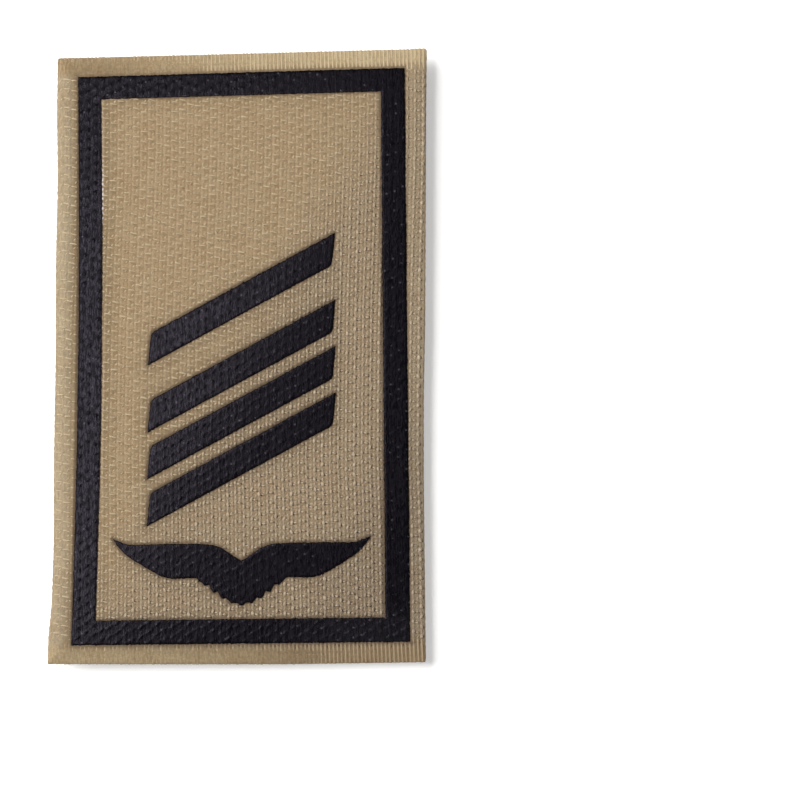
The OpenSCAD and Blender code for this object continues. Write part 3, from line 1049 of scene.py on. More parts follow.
# %% [markdown]
# ## The film pieces
# Each printed shape is a closed skin. It could be cut out of one large film with a boolean, but
# that leaves a torn rim. Instead its outline is followed closely and made a little ragged, because
# ink on a knit breaks at the stitches. A second line just inside forms the rounded shoulder, the
# inside is filled with a net of points, and a triangulation joins them. The wings' relief is a
# little calmer than the rest.

# %% Build a film piece
EDGE_STEP = 0.15
INNER_STEP = 0.135
SHOULDER, SHOULDER_KEPT, SHOULDER_DROP = 0.11, 0.7, 0.025
NET_CLEAR, NET_SWAY = 0.16, 0.04
RAGGED_WAVE, RAGGED_WALE, RAGGED_STRAY = 0.026, 0.015, 0.012
WINGS_CALM = 0.7


def even_points(loop, step):
    """Points along a closed line at an even spacing, with its corners kept."""
    out = []
    for p, q in zip(loop, np.roll(loop, -1, axis=0)):
        count = max(1, int(round(np.linalg.norm(q - p) / step)))
        out += [p + (q - p) * k / count for k in range(count)]
    return np.array(out)


def ragged(loop, seed):
    """The line as the ink left it, a little off its true place at every stitch."""
    a, b = loop[:, 0], loop[:, 1]
    off = RAGGED_WAVE * waves(a, b, 0.45, 1.6, 7, seed) + RAGGED_WALE * np.cos(4 * np.pi * a / RIB)
    off += np.random.default_rng(seed).normal(0, RAGGED_STRAY, len(loop))
    return loop + outward_of(loop) * off[:, None]


def film_piece(name, loops, seed):
    """A closed skin inside the first loop and outside the others, draped over the knit."""
    lines, shoulders = [], []
    for number, loop in enumerate(loops):
        line = ragged(even_points(loop, EDGE_STEP), seed + number)
        inward = outward_of(line) * (-1 if number == 0 else 1)
        lines.append(line)
        shoulders.append(line + inward * SHOULDER)
    net = even_net(lines[0].min(0), lines[0].max(0), INNER_STEP)
    net[:, 0] += NET_SWAY * np.sin(net[:, 1] * 9)
    net = net[depth_of_print(net, loops) > SHOULDER + NET_CLEAR]
    shoulder = np.concatenate(shoulders)
    shoulder = shoulder[depth_of_print(shoulder, lines) > SHOULDER * SHOULDER_KEPT]
    flat, tris, ring = fill_lines(lines, np.concatenate([shoulder, net]))
    fold = fold_height(flat[:, 0], flat[:, 1])
    calm = WINGS_CALM if name == "printed_wings" else 1.0
    height = FACE_Z + fold + FILM_RISE + calm * film_relief(*patch_to_grid(*flat.T))
    count, total = len(ring), len(flat)
    height[:count] -= SHOULDER_DROP
    low_ring = np.column_stack([flat[:count], FACE_Z + fold[:count] + FILM_SINK])
    walls = [[i, j, total + j, total + i] for i, j in ring]
    _, base_tris, _ = fill_lines(lines, np.empty((0, 2)))
    under = (total + base_tris[:, ::-1]).tolist()
    points = np.concatenate([np.column_stack([flat, height]), low_ring])
    piece = mesh_object(name, points, tris.tolist() + walls + under)
    a, b = patch_to_grid(points[:, 0], points[:, 1])
    store(piece, "knit", np.stack([a, b, points[:, 2]], 1))
    # The lower right corner of the print, where the film gets a painted sheen.
    store(piece, "painted_corner_sheen", ease(a, 2, 16) * ease(-b, *BOTTOM_STRIP))
    print(name, "has", triangles_in(piece), "triangles")
    return piece


films = {}
for order, (name, loops) in enumerate(PRINTS.items()):
    films[name] = film_piece("printed_" + name.replace("_print", ""), loops, 50 + 3 * order)

# %% [markdown]
# ## The hook tape
# Under the cloth lies the tape, and out of it stand the hooks: stiff nylon threads, each a stem
# with a bent head cut open on one side. They carry the patch. They could be instances of one hook
# on a grid, but then they would stand as stiff as in a drawing. So every hook is the same short
# tube, moved and turned a little at random, and the rows face left and right by turns, as the loom
# set them.

# %% The tape
TAPE_SETBACK, BARE_TAPE = 0.2, 1.2
TAPE_STEP, TAPE_NET, TAPE_GAP, TAPE_BULGE = 0.5, 1.0, 0.4, 0.02


def outline_line(inset, step):
    """The cut outline, set in by a distance, anticlockwise at an even spacing."""
    ys, xs = np.linspace(-HALF_L, HALF_L, 60), np.linspace(-HALF_W, HALF_W, 40)
    sides = [np.stack([xs, cut_bottom(xs)], 1), np.stack([cut_right(ys), ys], 1),
             np.stack([xs[::-1], cut_top(xs[::-1])], 1), np.stack([cut_left(ys[::-1]), ys[::-1]], 1)]
    loop = np.concatenate([s[2:-2] for s in sides])
    return even_points(loop * (1 - inset / np.array([HALF_W, HALF_L])), step)


tape_line = outline_line(TAPE_SETBACK, TAPE_STEP)
net_points, tape_faces = underside_net(tape_line, TAPE_NET, TAPE_GAP)
tape_top = np.column_stack([net_points, cloth_underside(*net_points.T)])
points, faces = close_sheet(tape_top, tape_faces, np.arange(len(tape_line)),
                            lambda x, y: TAPE_Z + fold_height(x, y), TAPE_BULGE)
tape = mesh_object("hook_tape", points, faces)
store(tape, "knit", points)
print("hook_tape has", triangles_in(tape), "triangles")

# %% The hooks
HOOK_PITCH, HOOK_STAGGER, HOOK_MARGIN = 1.38, 0.35, 2.0
HOOK_RADIUS, HOOK_SIDES = 0.085, 5
HOOK_STRAY, HOOK_TWIST, HOOK_GAP = 0.05, 0.22, 0.3
HOOK_LINE = np.array([[0, 1.3], [0, 0.85], [0, 0.37], [0.07, 0.18], [0.24, 0.085], [0.41, 0.17],
                      [0.47, 0.34], [0.44, 0.52]])
HOOK_MIDDLE = 0.2

xs, ys = [np.arange(HOOK_MARGIN - half, half - HOOK_MARGIN, HOOK_PITCH) for half in (HALF_W, HALF_L)]
hook_x, hook_y = np.meshgrid(xs, ys)
odd_row = (np.arange(len(ys)) % 2)[:, None]
facing = np.where(odd_row, 1, -1) * np.ones_like(hook_x)
hook_x = (hook_x + HOOK_STAGGER * HOOK_PITCH * odd_row).ravel()
hook_y, facing = hook_y.ravel(), facing.ravel()
rng = np.random.default_rng(61)
hook_x += rng.normal(0, HOOK_STRAY, hook_x.size)
hook_y += rng.normal(0, HOOK_STRAY, hook_x.size)
turn = rng.normal(0, HOOK_TWIST, hook_x.size)
keep = from_cut(hook_x, hook_y) > TAPE_SETBACK + BARE_TAPE + HOOK_GAP
hook_x, hook_y, facing, turn = hook_x[keep], hook_y[keep], facing[keep], turn[keep]
heading = np.stack([facing * np.cos(turn), np.sin(turn), np.zeros_like(turn)], 1)
foot = np.stack([hook_x, hook_y, fold_height(hook_x, hook_y)], 1)
centres = heading[:, None, :] * (HOOK_LINE[:, 0] - HOOK_MIDDLE)[:, None] + foot[:, None, :]
centres[:, :, 2] += HOOK_LINE[:, 1]
print(len(foot), "hooks stand on the tape")

# %% [markdown]
# Round each centre line go rings of five points. A ring stands square to the thread, so the two
# directions across it are worked out from the heading and from the thread's own direction.

# %% Sweep the hooks
tangent = np.gradient(HOOK_LINE, axis=0)
tangent /= np.linalg.norm(tangent, axis=1)[:, None]
angle = 2 * np.pi * np.arange(HOOK_SIDES) / HOOK_SIDES
sideways = np.stack([-heading[:, 1], heading[:, 0], np.zeros(len(heading))], 1)
normal = heading[:, None, :] * -tangent[:, 1][:, None] + np.array([0, 0, 1]) * tangent[:, 0][:, None]
ring = sideways[:, None, None, :] * np.cos(angle)[:, None]
ring = ring + normal[:, :, None, :] * np.sin(angle)[:, None]
points, faces = closed_tubes(centres[:, :, None, :] + HOOK_RADIUS * ring)
hooks = mesh_object("hook_field", points, faces)
store(hooks, "tone", np.repeat(rng.random(len(foot)), len(points) // len(foot)))
store(hooks, "knit", points)
print("hook_field has", triangles_in(hooks), "triangles, lowest", round(float(points[:, 2].min()), 3))

# %% [markdown]
# ## Shared effects for the materials
# A few effects are used by more than one finish. The same nodes could be wired again in every
# material, but then a change would have to be made in each. So each effect is a node group with
# named sockets: the fibres and the uneven dye of a yarn, the chart of the knit, and the dye with the
# painted shade and highlights along the print over a tan. The first two give out masks and the
# third a colour. The shader itself stays in each material.

# %% Helpers for wiring nodes
class Wiring:
    """Adds nodes to a tree and joins them, with plain numbers allowed wherever a wire is."""

    def __init__(self, tree):
        self.tree = tree

    def node(self, kind, **settings):
        made = self.tree.nodes.new(kind)
        for key, value in settings.items():
            setattr(made, key, value)
        return made

    def plug(self, socket, value):
        if isinstance(value, bpy.types.NodeSocket):
            self.tree.links.new(value, socket)
        else:
            socket.default_value = value

    def fed(self, made, *values):
        """Feeds the first sockets of a new node, and gives the node's first output."""
        for socket, value in zip(made.inputs, values):
            self.plug(socket, value)
        return made.outputs[0]

    def math(self, operation, *values, clamp=False):
        return self.fed(self.node("ShaderNodeMath", operation=operation, use_clamp=clamp), *values)

    def times(self, first, second):
        return self.math("MULTIPLY", first, second)

    def plus(self, first, second):
        return self.math("ADD", first, second)

    def apart(self, first, second):
        """How far two values are apart."""
        return self.math("ABSOLUTE", self.math("SUBTRACT", first, second))

    def ramp(self, value, low, high, to_low=0.0, to_high=1.0):
        """Goes smoothly from to_low, where the value is low, to to_high, where it is high."""
        made = self.node("ShaderNodeMapRange", interpolation_type="SMOOTHSTEP")
        return self.fed(made, value, low, high, to_low, to_high)

    def mix(self, factor, first, second, blend="MIX"):
        made = self.node("ShaderNodeMix", data_type="RGBA", blend_type=blend)
        for number, value in ((0, factor), (6, first), (7, second)):
            self.plug(made.inputs[number], value)
        return made.outputs[2]

    def shaded(self, colour, factor):
        """A colour times a grey factor or another colour."""
        return self.mix(1.0, colour, factor, "MULTIPLY")

    def noise(self, vector, scale, detail=2.0, rough=0.5):
        made = self.node("ShaderNodeTexNoise")
        values = {"Vector": vector, "Scale": scale, "Detail": detail, "Roughness": rough}
        for label, value in values.items():
            self.plug(made.inputs[label], value)
        return made.outputs["Fac"]

    def place(self):
        """The point's place on the knit's grid, in millimetres."""
        return self.node("ShaderNodeAttribute", attribute_name="knit").outputs["Vector"]

    def mask(self, name):
        """A number that the point keeps."""
        return self.node("ShaderNodeAttribute", attribute_name=name).outputs["Fac"]

    def stretched(self, vector, scale):
        return self.fed(self.node("ShaderNodeVectorMath", operation="MULTIPLY"), vector, scale)

    def across_and_along(self, vector):
        split = self.node("ShaderNodeSeparateXYZ")
        self.fed(split, vector)
        return split.outputs[0], split.outputs[1]


NUMBER, VECTOR, COLOUR = "NodeSocketFloat", "NodeSocketVector", "NodeSocketColor"


def effect_group(name, inputs, outputs, gives=NUMBER):
    """A new shader node group with named sockets, its outputs of one kind, and its wiring."""
    tree = bpy.data.node_groups.new(name, "ShaderNodeTree")
    for label, kind, value in inputs:
        socket = tree.interface.new_socket(label, in_out="INPUT", socket_type=kind)
        if value is not None:
            socket.default_value = value
    for label in outputs:
        tree.interface.new_socket(label, in_out="OUTPUT", socket_type=gives)
    w = Wiring(tree)
    return w, w.node("NodeGroupInput").outputs, w.node("NodeGroupOutput").inputs


def place_group(w, name, **values):
    """Puts a group into a material with its own values, and gives its outputs."""
    made = w.node("ShaderNodeGroup", node_tree=bpy.data.node_groups[name])
    for label, value in values.items():
        w.plug(made.inputs[label.replace("_", " ")], value)
    return made.outputs


# %% [markdown]
# ### Fibres and uneven dye
# Yarn is a bundle of fine filaments, which show as streaks along it, and no dye bath colours a
# cloth evenly. The first group gives both as masks. The streaks are a noise that is squeezed
# across the yarn, and the dye is a noise several stitches wide.

# %% The fibre group
w, gin, gout = effect_group(
    "Fibre and dye",
    [("Place", VECTOR, None), ("Across", NUMBER, 22.0), ("Along", NUMBER, 5.0),
     ("Patch size", NUMBER, 0.35)],
    ["Fibre", "Dye"])
scale = w.fed(w.node("ShaderNodeCombineXYZ"), gin["Across"], gin["Along"], gin["Across"])
w.plug(gout["Fibre"], w.noise(w.stretched(gin["Place"], scale), 1.0, detail=3.0, rough=0.6))
w.plug(gout["Dye"], w.noise(gin["Place"], gin["Patch size"], detail=3.0, rough=0.55))
print("made the group Fibre and dye")

# %% [markdown]
# ### The chart of the knit
# The same chart that placed the floats is repeated here as nodes, for the shading in the windows.
# The rib number, counted by fours, picks the row from a stepped ramp. The group gives the crest of
# the rib, the grooves on both its sides, the pit below each float, the small holes, the dots where
# the loop heads lie, and the lower heads of the ground's own relief.

# %% The knit chart group
GROOVE_AT = 0.26
FAR_AWAY = 400
SPOT_CORE = 0.3


def stepped_table(w, quarter, values):
    """A node that picks one of four values by the number of the rib, counted by fours."""
    table = w.node("ShaderNodeValToRGB")
    table.color_ramp.interpolation = "CONSTANT"
    while len(table.color_ramp.elements) < 4:
        table.color_ramp.elements.new(0.5)
    for number, (element, value) in enumerate(zip(table.color_ramp.elements, values)):
        element.position = max(0.0, number / 4 - 0.02)
        element.color = (value, value, value, 1)
    return w.fed(table, quarter)


def spot(w, place, rows_down, rows, centre, reach):
    """A soft spot in every window, at a share of the rib pitch and a row of the repeat."""
    from_row = w.math("SUBTRACT", w.plus(rows_down, FAR_AWAY + 0.5 - centre[1]), rows)
    down = w.apart(w.math("FRACT", from_row), 0.5)
    across = w.apart(place, centre[0])
    return w.times(w.ramp(across, reach[0], reach[0] * SPOT_CORE),
                   w.ramp(down, reach[1], reach[1] * SPOT_CORE))


w, gin, gout = effect_group(
    "Knit chart",
    [("Knit", VECTOR, None), ("Rib pitch", NUMBER, RIB), ("Repeat", NUMBER, REPEAT)],
    ["Crest", "Groove", "Pit", "Hole", "Dot", "Head"])
knit_a, knit_b = w.across_and_along(gin["Knit"])
ribs_out = w.math("DIVIDE", knit_a, gin["Rib pitch"])
place = w.math("FRACT", w.plus(ribs_out, FAR_AWAY))
off = w.apart(place, w.math("ROUND", place))
w.plug(gout["Crest"], w.ramp(off, 0.24, 0.04))
w.plug(gout["Groove"], w.ramp(w.apart(off, GROOVE_AT), 0.13, 0.02))
whole = w.math("FLOOR", w.plus(ribs_out, FAR_AWAY))
quarter = w.math("DIVIDE", w.math("MODULO", whole, 4.0), 4.0)
float_rows, dot_rows, head_rows, near_sizes, far_sizes, head_sizes = [
    stepped_table(w, quarter, values)
    for values in (FLOAT_ROWS, DOT_ROWS, HEAD_ROWS, HOLES, FAR_HOLES, HEADS)]
rows_down = w.times(w.math("DIVIDE", knit_b, gin["Repeat"]), -1.0)
w.plug(gout["Pit"], spot(w, place, rows_down, float_rows, (0.52, 0.30), (0.42, 0.26)))
hole = spot(w, place, rows_down, float_rows, (HOLE_A / RIB, -HOLE_B / REPEAT), (0.15, 0.15))
far_hole = spot(w, place, rows_down, float_rows, (FAR_HOLE_A / RIB, -FAR_HOLE_B / REPEAT), (0.14, 0.14))
w.plug(gout["Hole"], w.math("ADD", w.times(hole, near_sizes), w.times(far_hole, far_sizes), clamp=True))
w.plug(gout["Dot"], spot(w, place, rows_down, dot_rows, (DOT_PLACE, 0.0), (0.17, 0.13)))
head = spot(w, place, rows_down, head_rows, (HEAD_PLACE, 0.0), (0.16, 0.13))
w.plug(gout["Head"], w.times(head, head_sizes))
print("made the group Knit chart")

# %% [markdown]
# ## The cloth's finishes
# The face is a dull polyester yarn in a sandy tan. The ground takes its colour from the chart: the
# crests are the full tan and the windows a little deeper. The grooves get painted shade, the pits
# under the floats a painted shadow, and the small holes the darkest painted shade. The yarn is
# lighter. Most tans come twice, for the eased knit and for the open knit, which is greyer and
# darker, partly as painted shade for the half that the fold turns away from the light.

# %% The tans
# The open tans are greyer and darker: partly the open knit's own look, partly painted shade for the
# half turned from the light.
CREST_EASED = (0.284, 0.208, 0.121, 1)
CREST_OPEN = (0.245, 0.188, 0.127, 1)
WINDOW_TAN = (0.280, 0.202, 0.117, 1)
WINDOW_OPEN_TAN = (0.240, 0.182, 0.120, 1)
# Painted shade in the grooves and the holes, and painted shadow in the pits under the floats.
GROOVE_PAINTED_SHADE = (0.242, 0.172, 0.098, 1)
GROOVE_OPEN_PAINTED_SHADE = (0.172, 0.128, 0.082, 1)
PAINTED_FLOAT_SHADOW = (0.212, 0.149, 0.083, 1)
HOLE_PAINTED_SHADE = (0.042, 0.030, 0.020, 1)
SIDE_RIM_TAN = (0.292, 0.231, 0.152, 1)
END_RIM_PALE = (0.455, 0.364, 0.218, 1)
END_RIM_DEEP = (0.213, 0.150, 0.082, 1)
# The ground's loop heads are paler: partly painted highlight.
HEAD_TAN = (0.360, 0.285, 0.203, 1)
YARN_EASED = (0.281, 0.204, 0.118, 1)
YARN_EASED_PALE = (0.424, 0.331, 0.204, 1)
YARN_OPEN = (0.235, 0.180, 0.122, 1)
YARN_OPEN_PALE = (0.400, 0.318, 0.228, 1)
# Painted highlight and painted shade for the cloth along the print's edges.
PAINTED_EDGE_HIGHLIGHT = (0.62, 0.60, 0.64, 1)
PAINTED_EDGE_SHADE = (0.085, 0.055, 0.033, 1)
WARM_DYE, COOL_DYE = (0.975, 0.955, 0.935, 1), (1.03, 1.045, 1.06, 1)


def new_material(name, **fixed):
    """A material, its wiring and its shader, with the shader's uniform numbers set."""
    material = bpy.data.materials.new(name)
    material.use_nodes = True
    shader = material.node_tree.nodes["Principled BSDF"]
    for label, value in fixed.items():
        shader.inputs[label.replace("_", " ")].default_value = value
    print("made the material", name)
    return material, Wiring(material.node_tree), shader


def dress(w, shader, colour, roughness, height, distance, strength):
    """Joins a finish's colour, roughness and bump to its shader. The distance is in metres."""
    bump = w.node("ShaderNodeBump")
    for label, value in (("Strength", strength), ("Distance", distance), ("Height", height)):
        w.plug(bump.inputs[label], value)
    for label, value in (("Base Color", colour), ("Roughness", roughness), ("Normal", bump.outputs[0])):
        w.plug(shader.inputs[label], value)


# %% [markdown]
# ### What all the cloth shares
# Three things lie over every tan. The open knit is a little darker, as painted shade for the half
# that the fold turns away from the light. The dye is never quite even: single filaments are lighter
# or darker, and whole patches of the cloth have a warmer or a cooler cast. And along the print a
# brown shade is painted in, or painted highlights like pale pearls on the crests of its ribs. The
# third group lays all this over a colour.

# %% The dye and painted edge shading group
w, gin, gout = effect_group(
    "Dye and trace",
    [("Tan", COLOUR, None), ("Knit", VECTOR, None), ("Fibre", NUMBER, 0.5), ("Dye", NUMBER, 0.5),
     ("Open", NUMBER, 0.0), ("Crest", NUMBER, 0.0), ("Trace", NUMBER, 0.0)],
    ["Colour"], gives=COLOUR)
# The open knit is darkened: painted shade for the half that the fold turns away from the light.
colour = w.shaded(gin["Tan"], w.ramp(gin["Open"], 0.82, 1.0, 1.0, 0.85))
colour = w.shaded(colour, w.ramp(gin["Fibre"], 0.2, 0.8, 0.88, 1.12))
colour = w.shaded(colour, w.mix(w.ramp(gin["Dye"], 0.35, 0.65), WARM_DYE, COOL_DYE))
# Painted highlights, like pale pearls on the crests, and painted shade along the print.
_, knit_b = w.across_and_along(gin["Knit"])
row_wave = w.math("SINE", w.times(knit_b, 2 * math.pi / COURSE))
pearl = w.plus(w.times(gin["Crest"], 0.6), w.times(row_wave, 0.4))
pearl = w.plus(pearl, w.noise(gin["Knit"], 1.3, detail=1.0))
pale = w.times(w.ramp(gin["Trace"], 0.30, 0.85), w.ramp(pearl, 0.85, 1.25, 0.0, 0.9))
colour = w.mix(pale, colour, PAINTED_EDGE_HIGHLIGHT)
w.plug(gout["Colour"], w.mix(w.ramp(gin["Trace"], -0.10, -0.85, 0.0, 0.75), colour, PAINTED_EDGE_SHADE))
print("made the group Dye and trace")


def dyed_with_painted_edge_shading(w, tan, knit, fibre, opened):
    """Lays the dye, and the painted shade and highlights along the print, over a tan, with the crests
    from the knit's chart.
    """
    crest = place_group(w, "Knit chart", Knit=knit)["Crest"]
    return place_group(w, "Dye and trace", Tan=tan, Knit=knit, Fibre=fibre["Fibre"], Dye=fibre["Dye"],
                       Open=opened, Crest=crest, Trace=w.mask("trace"))["Colour"]


# %% [markdown]
# ### The ground's finish
# The masks of the chart lay one tan over the other: painted shade in the grooves and holes, painted
# shadow in the pits under the floats, and paler loop heads, partly painted highlight. A crumb of
# fine noise, strongest where the knit is open, breaks them up. The ironed rims have tans of their
# own with streaks along the ribs, and close to the print everything is a little darker with
# painted shade.

# %% The ground's tan
ground_finish, w, shader = new_material("knit ground tan", Sheen_Weight=0.1, Specular_IOR_Level=0.25)
knit, opened, flat = w.place(), w.mask("open"), w.mask("ironed")
chart = place_group(w, "Knit chart", Knit=knit)
fibre = place_group(w, "Fibre and dye", Place=knit, Across=9.0, Along=6.0)
window = w.mix(opened, WINDOW_TAN, WINDOW_OPEN_TAN)
colour = w.mix(chart["Crest"], window, w.mix(opened, CREST_EASED, CREST_OPEN))
# Painted shade in the grooves, painted shadow below each float, painted highlight on the loop heads,
# painted shade in the holes.
colour = w.mix(w.times(chart["Groove"], 0.9), colour, w.mix(opened, GROOVE_PAINTED_SHADE, GROOVE_OPEN_PAINTED_SHADE))
colour = w.mix(w.times(chart["Pit"], w.ramp(opened, 0.0, 1.0, 0.78, 0.45)), colour, PAINTED_FLOAT_SHADOW)
colour = w.mix(w.times(chart["Head"], opened), colour, HEAD_TAN)
colour = w.mix(w.times(chart["Hole"], opened), colour, HOLE_PAINTED_SHADE)
crumb = w.ramp(w.noise(knit, 5.0), 0.33, 0.67, 0.80, 1.22)
colour = w.mix(w.ramp(opened, 0.0, 1.0, 0.55, 1.0), colour, w.shaded(colour, crumb))
end_tan = w.mix(w.mask("end_pale"), END_RIM_DEEP, END_RIM_PALE)
rim_tan = w.mix(w.ramp(w.mask("side_rim"), 0.0, 0.5), end_tan, SIDE_RIM_TAN)
colour = w.mix(w.ramp(flat, 0.0, 1.0, 0.0, 0.85), colour, rim_tan)
# Painted shade close to the print.
colour = w.shaded(colour, w.ramp(w.mask("near"), 0.0, 1.2, 1.0, 0.76))
grain = w.noise(knit, 2.8, detail=3.0, rough=0.6)
colour = w.shaded(colour, w.ramp(grain, 0.3, 0.7, 0.88, 1.12))
streaks = w.noise(w.stretched(knit, (4.5, 0.8, 1.0)), 1.0)
colour = w.mix(flat, colour, w.shaded(colour, w.ramp(streaks, 0.30, 0.70, 0.87, 1.17)))
dress(w, shader, dyed_with_painted_edge_shading(w, colour, knit, fibre, opened), 0.85,
      w.plus(fibre["Fibre"], grain), 0.00006, 0.8)

# %% [markdown]
# ### The yarn's finish
# The floats, stitches, loop heads and cords share one material with a soft sheen. Every yarn mixes
# a deep and a pale tan by its own tone, so that each differs from its neighbours by a little. The
# floats, the loop heads and the big stitches of the open knit lean to the pale tan, partly as
# painted highlight.

# %% The yarn's tan
yarn_finish, w, shader = new_material("yarn tan", Sheen_Weight=0.12, Specular_IOR_Level=0.5)
knit, tone, opened = w.place(), w.mask("tone"), w.mask("open")
fibre = place_group(w, "Fibre and dye", Place=knit, Across=14.0, Along=5.0)
eased_tan = w.mix(tone, YARN_EASED, YARN_EASED_PALE)
colour = w.mix(opened, eased_tan, w.mix(tone, YARN_OPEN, YARN_OPEN_PALE))
dress(w, shader, dyed_with_painted_edge_shading(w, colour, knit, fibre, opened),
      w.ramp(fibre["Fibre"], 0.2, 0.8, 0.42, 0.62), fibre["Fibre"], 0.00004, 0.7)

# %% [markdown]
# ## The print's finish
# The film is a soft plastic ink, blue-black and satin. Its relief is in the mesh, and the material
# adds only what is finer: the grain of the ink, streaks along the ribs where the shine is duller,
# and a few pale specks, painted glints, over the heads of the loops. A plain black would look like
# a hole in the cloth. The lower right corner is paler and has more specks, as a painted sheen.

# %% The black film
INK, INK_WORN = (0.0010, 0.0009, 0.0013, 1), (0.0030, 0.0027, 0.0038, 1)
INK_PAINTED_SHEEN = (0.0066, 0.0062, 0.0074, 1)
PAINTED_GLINT = (0.045, 0.043, 0.050, 1)
VIOLET_SHINE = (0.87, 0.77, 1.0, 1)
film_finish, w, shader = new_material("black film", Specular_IOR_Level=0.147,
                                      Specular_Tint=VIOLET_SHINE)
knit, painted_corner_sheen = w.place(), w.mask("painted_corner_sheen")
fibre = place_group(w, "Fibre and dye", Place=knit, Across=5.0, Along=0.9)
grain = w.noise(knit, 4.0, detail=3.0, rough=0.6)
# Painted glints over the loop heads, more of them in the lower right corner.
scatter = w.plus(w.noise(knit, 1.1), w.times(painted_corner_sheen, 0.10))
dot = place_group(w, "Knit chart", Knit=knit)["Dot"]
painted_glint = w.times(dot, w.ramp(scatter, 0.50, 0.66))
ink = w.mix(w.ramp(grain, 0.45, 0.75), INK, INK_WORN)
# The lower right corner is paler: painted sheen.
ink = w.mix(w.times(painted_corner_sheen, w.ramp(grain, 0.35, 0.65, 0.35, 1.0)), ink, INK_PAINTED_SHEEN)
dress(w, shader, w.mix(painted_glint, ink, PAINTED_GLINT), w.ramp(fibre["Fibre"], 0.38, 0.62, 0.17, 0.41),
      w.plus(fibre["Fibre"], w.times(grain, 0.8)), 0.000018, 0.9)

# %% [markdown]
# ## The backing's finish
# Tape and hooks are nylon, dyed to match. The tape is a close plain weave, which two crossed waves
# are enough to show, because hardly anyone turns a patch over. The hooks are smoother and paler,
# and each has a tone of its own.

# %% The tape and the hooks
TAPE_TAN, TAPE_SHADE = (0.20, 0.145, 0.085, 1), (0.12, 0.084, 0.048, 1)
HOOK_TAN, HOOK_PALE = (0.27, 0.205, 0.130, 1), (0.36, 0.285, 0.190, 1)
WARP_WAVE, WEFT_WAVE = 14.0, 11.0

tape_finish, w, shader = new_material("tape weave")
place = w.place()
fibre = place_group(w, "Fibre and dye", Place=place, Across=12.0, Along=12.0)["Fibre"]
across, along = w.across_and_along(place)
weave = w.times(w.math("SINE", w.times(across, WARP_WAVE)), w.math("SINE", w.times(along, WEFT_WAVE)))
dress(w, shader, w.mix(w.ramp(weave, -0.8, 0.6), TAPE_SHADE, TAPE_TAN),
      w.ramp(fibre, 0.2, 0.8, 0.6, 0.8), w.plus(weave, fibre), 0.00006, 0.9)

hook_finish, w, shader = new_material("hook nylon")
fibre = place_group(w, "Fibre and dye", Place=w.place(), Across=3.0, Along=3.0)["Fibre"]
dress(w, shader, w.mix(w.mask("tone"), HOOK_TAN, HOOK_PALE),
      w.ramp(fibre, 0.3, 0.7, 0.30, 0.45), fibre, 0.00002, 0.5)

# %% [markdown]
# ## Give every piece its finish and its place
# Each piece takes a material and rides on the patch's one body. The solids it stands for are hidden.

# %% Dress the frame
CLOTH_PIECES = [ground, stitches, floats, dots, cords]
ALL_PIECES = [*CLOTH_PIECES, *films.values(), tape, hooks]
for piece in CLOTH_PIECES:
    piece.data.materials.append(ground_finish if piece is ground else yarn_finish)
for piece in films.values():
    piece.data.materials.append(film_finish)
for piece, finish in ((tape, tape_finish), (hooks, hook_finish)):
    piece.data.materials.append(finish)
for piece in ALL_PIECES:
    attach(piece, "root")
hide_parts("face_cloth")
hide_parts("hook_backing")
for name, piece in films.items():
    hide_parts(name)
print("all pieces together:", sum(triangles_in(piece) for piece in ALL_PIECES), "triangles")

# %% [markdown]
# ## Floor, light and camera
# The patch lies on a white table that glows faintly, as a light table does, which keeps the shadow
# beside it pale.

# %% The floor
FLOOR_HALF = 1.5
TABLE_GLOW = 0.3
TABLE_WHITE, TABLE_BRIGHT = (0.88, 0.88, 0.88, 1), (0.91, 0.91, 0.91, 1)
floor_mesh = bpy.data.meshes.new("white_table")
corners = [(x * FLOOR_HALF, y * FLOOR_HALF, 0) for x, y in ((-1, -1), (1, -1), (1, 1), (-1, 1))]
floor_mesh.from_pydata(corners, [], [(0, 1, 2, 3)])
floor = bpy.data.objects.new("white_table", floor_mesh)
bpy.context.scene.collection.objects.link(floor)
floor_finish, w, shader = new_material(
    "white table", Roughness=0.9, Specular_IOR_Level=0.1, Emission_Color=(1, 1, 1, 1),
    Emission_Strength=TABLE_GLOW)
grain = w.noise(w.node("ShaderNodeTexCoord").outputs["Object"], 900.0)
w.plug(shader.inputs["Base Color"], w.mix(grain, TABLE_WHITE, TABLE_BRIGHT))
floor_mesh.materials.append(floor_finish)
print("the table is", FLOOR_HALF * 2, "m wide")

# %% [markdown]
# A large window light at the upper left gives every stitch a bright side. So large a light would
# also mirror in the black print and turn it grey, so it gives no gloss. A small ceiling panel gives
# the print its sheen instead, and a weak and lower window light the small flashes. A faint light
# from the far side and a white room fill the shadows. One lamp could do the lighting alone, but
# then sheen and shade couldn't be set apart.

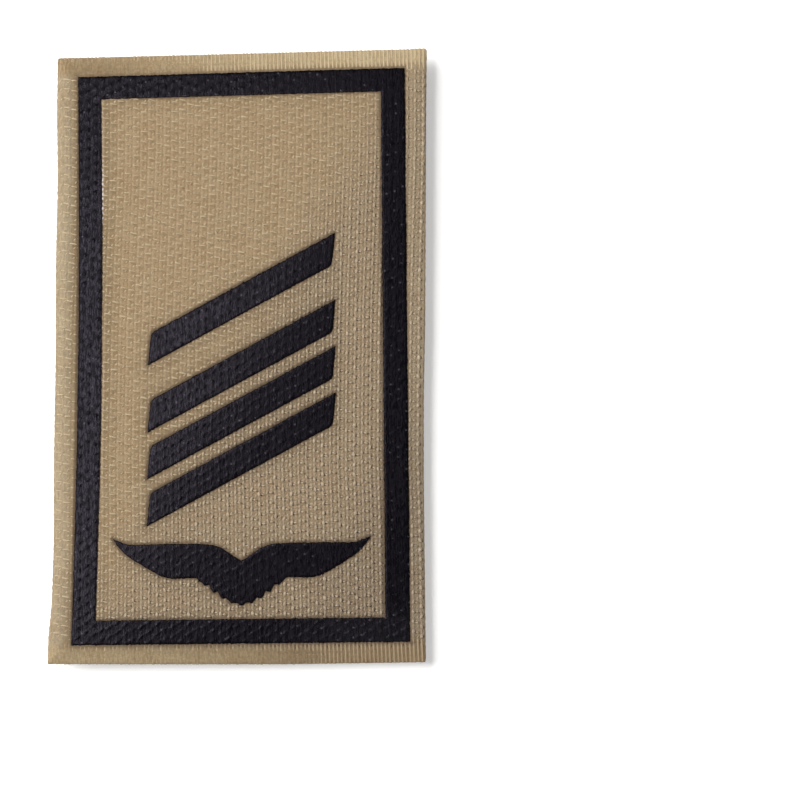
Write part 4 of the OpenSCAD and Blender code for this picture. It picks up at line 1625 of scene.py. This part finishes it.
# %% The lights
WINDOW_WHITE, SKY_WHITE = (1.0, 0.985, 0.96), (0.95, 0.97, 1.0)
ROOM_WHITE, ROOM_LIGHT = (0.96, 0.98, 1.0, 1), 0.16
LIGHTS = {  # the place and the size in metres, the power in watts, and the colour
    "window light": ((-0.33, 0.12, 0.42), (0.46, 0.46), 3.75, WINDOW_WHITE),
    "low window light": ((-0.42, 0.15, 0.33), (0.40, 0.40), 0.9, WINDOW_WHITE),
    "ceiling light": ((-0.157, 0.059, 0.51), (0.265, 0.09), 0.74, WINDOW_WHITE),
    "far side light": ((0.32, -0.22, 0.24), (0.30, 0.30), 0.5, SKY_WHITE)}
for name, (place, size, power, colour) in LIGHTS.items():
    lamp = bpy.data.lights.new(name, "AREA")
    lamp.shape = "RECTANGLE"
    lamp.size, lamp.size_y = size
    lamp.energy = power
    lamp.color = colour
    holder = bpy.data.objects.new(name, lamp)
    holder.location = place
    holder.rotation_euler = (-Vector(place)).to_track_quat("-Z", "Y").to_euler()
    holder.visible_glossy = name != "window light"
    bpy.context.scene.collection.objects.link(holder)
world = bpy.data.worlds.new("white room")
world.use_nodes = True
room = world.node_tree.nodes["Background"].inputs
room["Color"].default_value = ROOM_WHITE
room["Strength"].default_value = ROOM_LIGHT
bpy.context.scene.world = world
bpy.context.scene.view_settings.view_transform = "Standard"
print("the lights are", ", ".join(LIGHTS))

# %% [markdown]
# The camera looks down from just in front, as steeply as the photograph does. Its place could be
# set by eye, but it was worked out from where the four corners of the printed border lie in the
# photograph.

# %% The camera
CAMERA_PLACE = (0.03942, -0.05788, 0.34287)
CAMERA_TURN = (0.14874675, 0.05443199, -0.00881937)
FOCAL_LENGTH, SENSOR_WIDTH = 116.7, 36.0
NEAREST_SEEN = 0.01
lens = bpy.data.cameras.new("camera")
lens.lens, lens.sensor_width = FOCAL_LENGTH, SENSOR_WIDTH
lens.clip_start = NEAREST_SEEN
camera = bpy.data.objects.new("camera", lens)
camera.location = CAMERA_PLACE
camera.rotation_euler = CAMERA_TURN
bpy.context.scene.collection.objects.link(camera)
bpy.context.scene.camera = camera
print("the camera is", round(camera.location.length, 3), "m from the middle of the patch")
